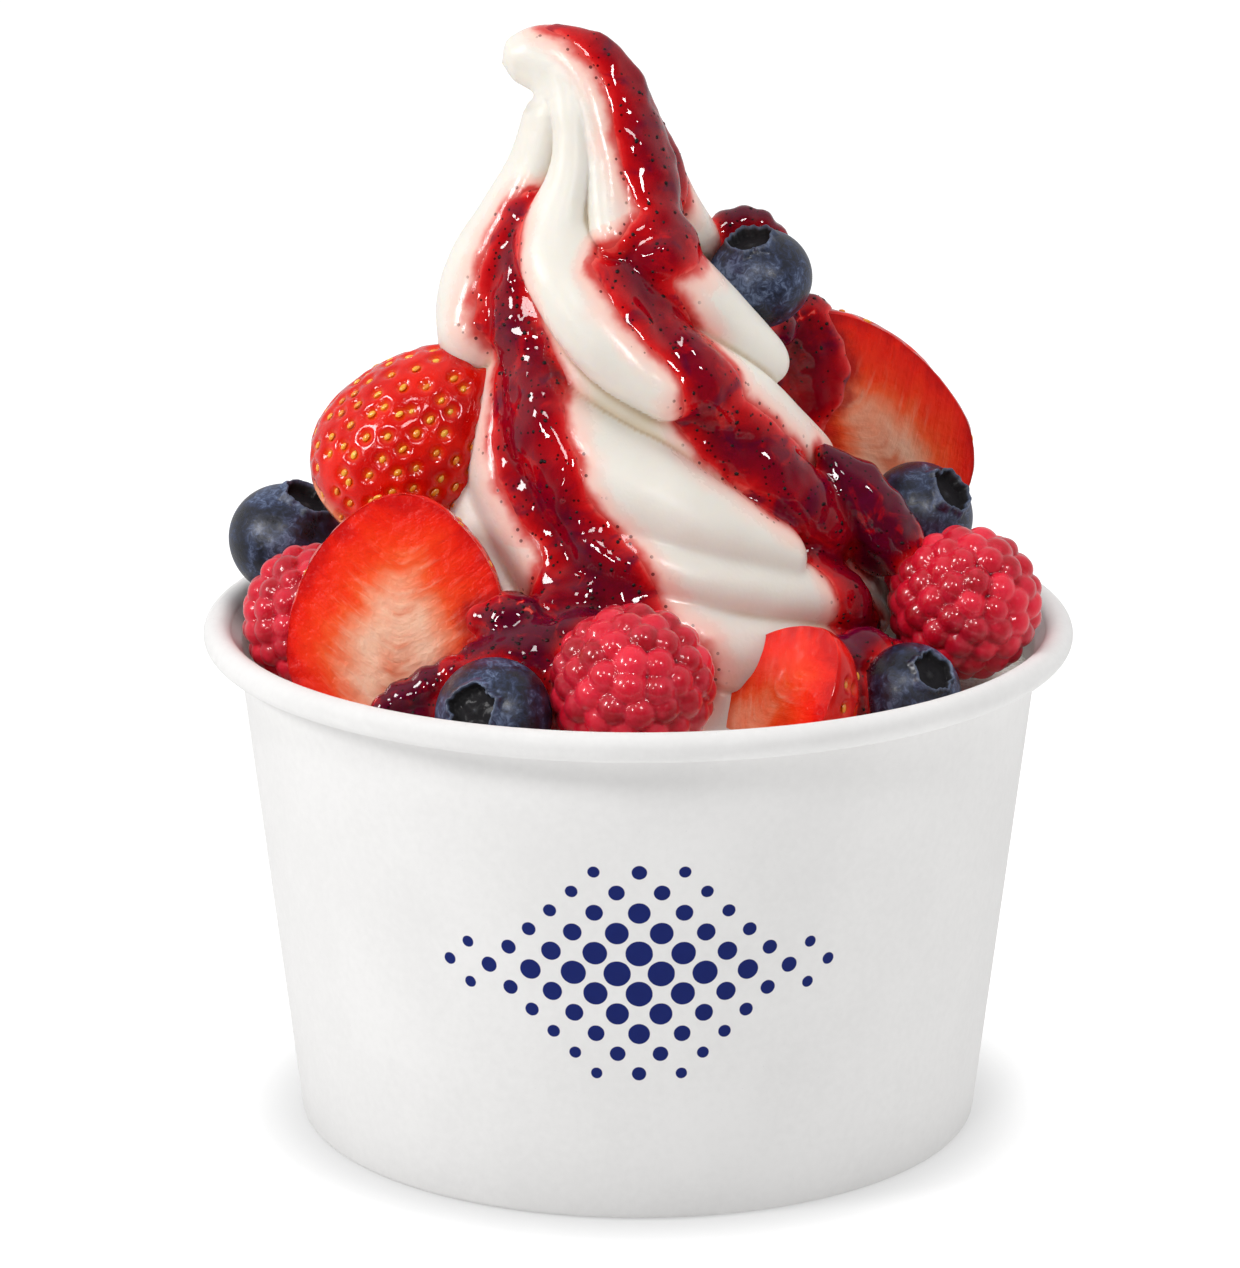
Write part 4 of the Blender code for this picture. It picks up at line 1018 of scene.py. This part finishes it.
trees = [yogurt_tree]
for piece in fruit:
    mesh = piece.data
    trees.append(BVHTree.FromPolygons([v.co / MM for v in mesh.vertices], [tuple(p.vertices) for p in mesh.polygons]))
points = np.empty(len(sauce.data.vertices) * 3)
sauce.data.vertices.foreach_get("co", points)
points = points.reshape(-1, 3) / MM
normals = np.empty(len(sauce.data.vertices) * 3)
sauce.data.vertices.foreach_get("normal", normals)
normals = normals.reshape(-1, 3)


def height_over(points):
    """How far each point lies outside the yogurt and the fruit, negative within them."""
    result = np.full(len(points), 9.0)
    for k, tree in enumerate(trees):
        for i, p in enumerate(points):
            found = tree.find_nearest(p, 3.2)
            if found[0] is not None:
                gap = found[3]
                if (Vector(p) - found[0]).dot(found[1]) < 0:
                    gap = -gap
                if gap < result[i]:
                    result[i] = gap
    return result


over = height_over(points)
wave = 0.22 * noise(points, 2.3, 51) + 0.12 * noise(points, 1.2, 52)
points = points + normals * (wave * ease(0.15, 0.9, over))[:, None]
sauce.data.vertices.foreach_set("co", (points * MM).ravel())
sauce.data.polygons.foreach_set("use_smooth", np.ones(len(sauce.data.polygons), bool))
sauce.data.update()
put(sauce, thick=np.clip(over, 0, 3.5))

# Seeds in the sauce, as real grains that stand a little proud of it.
shown = np.flatnonzero((over > 0.25) & (over < 3.4))
picked = rng.choice(shown, 900, replace=False)
grains, grain_faces = icosphere(1)
size = rng.uniform(0.11, 0.27, len(picked))
turns = frames_from(normals[picked], rng.normal(0, 1, (len(picked), 3)))
sizes = np.stack([size * rng.uniform(1.0, 1.5, len(picked)), size, size * 0.62], -1)
seed_mesh, seed_all = many(grains, grain_faces, points[picked] - normals[picked] * 0.05, turns, sizes)
seeds = add_object("berry_sauce_seeds", seed_mesh, [seed_all], [SEED])


# ------------------------------------------------------------------ the studio
def floor_look():
    look = Look("studio_floor", Roughness=0.75, Specular_IOR_Level=0.2)
    look.set(Base_Color=look.mix(look.noise(60.0, 3.0), (148, 148, 148), (152, 152, 152)))
    look.shader.inputs["Emission Color"].default_value = (1, 1, 1, 1)
    apart = look.new("ShaderNodeSeparateXYZ")
    look.feed(apart.inputs[0], look.place)
    far = look.math("SQRT", look.math("ADD", look.math("MULTIPLY", apart.outputs[0], apart.outputs[0]), look.math("MULTIPLY", apart.outputs[1], apart.outputs[1])))
    # Painted shadow: the floor glows to stay white, and its glow is weaker within 51 mm of the axis, which paints a
    # soft contact shadow round the cup's foot.
    look.feed(look.shader.inputs["Emission Strength"], look.span(far, 0.035, 0.051, 0.46, 0.87))
    return look.material


side = 3.0
floor_mesh = bpy.data.meshes.new("studio_floor")
floor_mesh.from_pydata([(-side, -side, -0.0002), (side, -side, -0.0002), (side, side, -0.0002), (-side, side, -0.0002)], [], [(0, 1, 2, 3)])
floor_mesh.materials.append(floor_look())
floor = bpy.data.objects.new("studio_floor", floor_mesh)
floor.visible_glossy = False
scene.collection.objects.link(floor)

world = bpy.data.worlds.new("studio")
world.use_nodes = True
# A pale tent, darker on the side that the front of the object faces.
nodes, links = world.node_tree.nodes, world.node_tree.links
split = nodes.new("ShaderNodeSeparateXYZ")
links.new(nodes.new("ShaderNodeTexCoord").outputs["Generated"], split.inputs[0])
tent = nodes.new("ShaderNodeMapRange")
tent.interpolation_type = "SMOOTHSTEP"
for socket, value in zip(tent.inputs[1:5], (-0.78, 0.05, 0.08, 0.60)):
    socket.default_value = value
links.new(split.outputs["Y"], tent.inputs[0])
links.new(tent.outputs[0], nodes["Background"].inputs["Strength"])
nodes["Background"].inputs["Color"].default_value = (1, 1, 1, 1)
scene.world = world


def softbox(name, at, target, size, watts, shines=True):
    lamp = bpy.data.lights.new(name, "AREA")
    lamp.shape, lamp.size, lamp.size_y, lamp.energy = "RECTANGLE", size[0], size[1], watts
    held = bpy.data.objects.new(name, lamp)
    held.location = at
    held.rotation_euler = (Vector(target) - Vector(at)).to_track_quat("-Z", "Y").to_euler()
    held.visible_glossy = shines
    scene.collection.objects.link(held)
    return held


softbox("key", (-0.64, -0.30, 0.50), (0.0, 0.0, 0.07), (0.16, 0.21), 3.0)
softbox("fill", (0.74, -0.28, 0.36), (0.0, 0.0, 0.06), (0.40, 0.45), 1.4, False)
softbox("top", (0.05, 0.10, 0.95), (0.0, 0.0, 0.06), (0.5, 0.5), 3.0, False)
softbox("glint", (-0.14, -0.56, 0.66), (0.0, 0.0, 0.08), (0.14, 0.18), 1.4)
softbox("sparkle_right", (0.26, -0.58, 0.52), (0.0, 0.0, 0.08), (0.10, 0.13), 1.6).visible_diffuse = False
softbox("sparkle_left", (-0.34, -0.52, 0.30), (0.0, 0.0, 0.08), (0.07, 0.09), 0.8).visible_diffuse = False
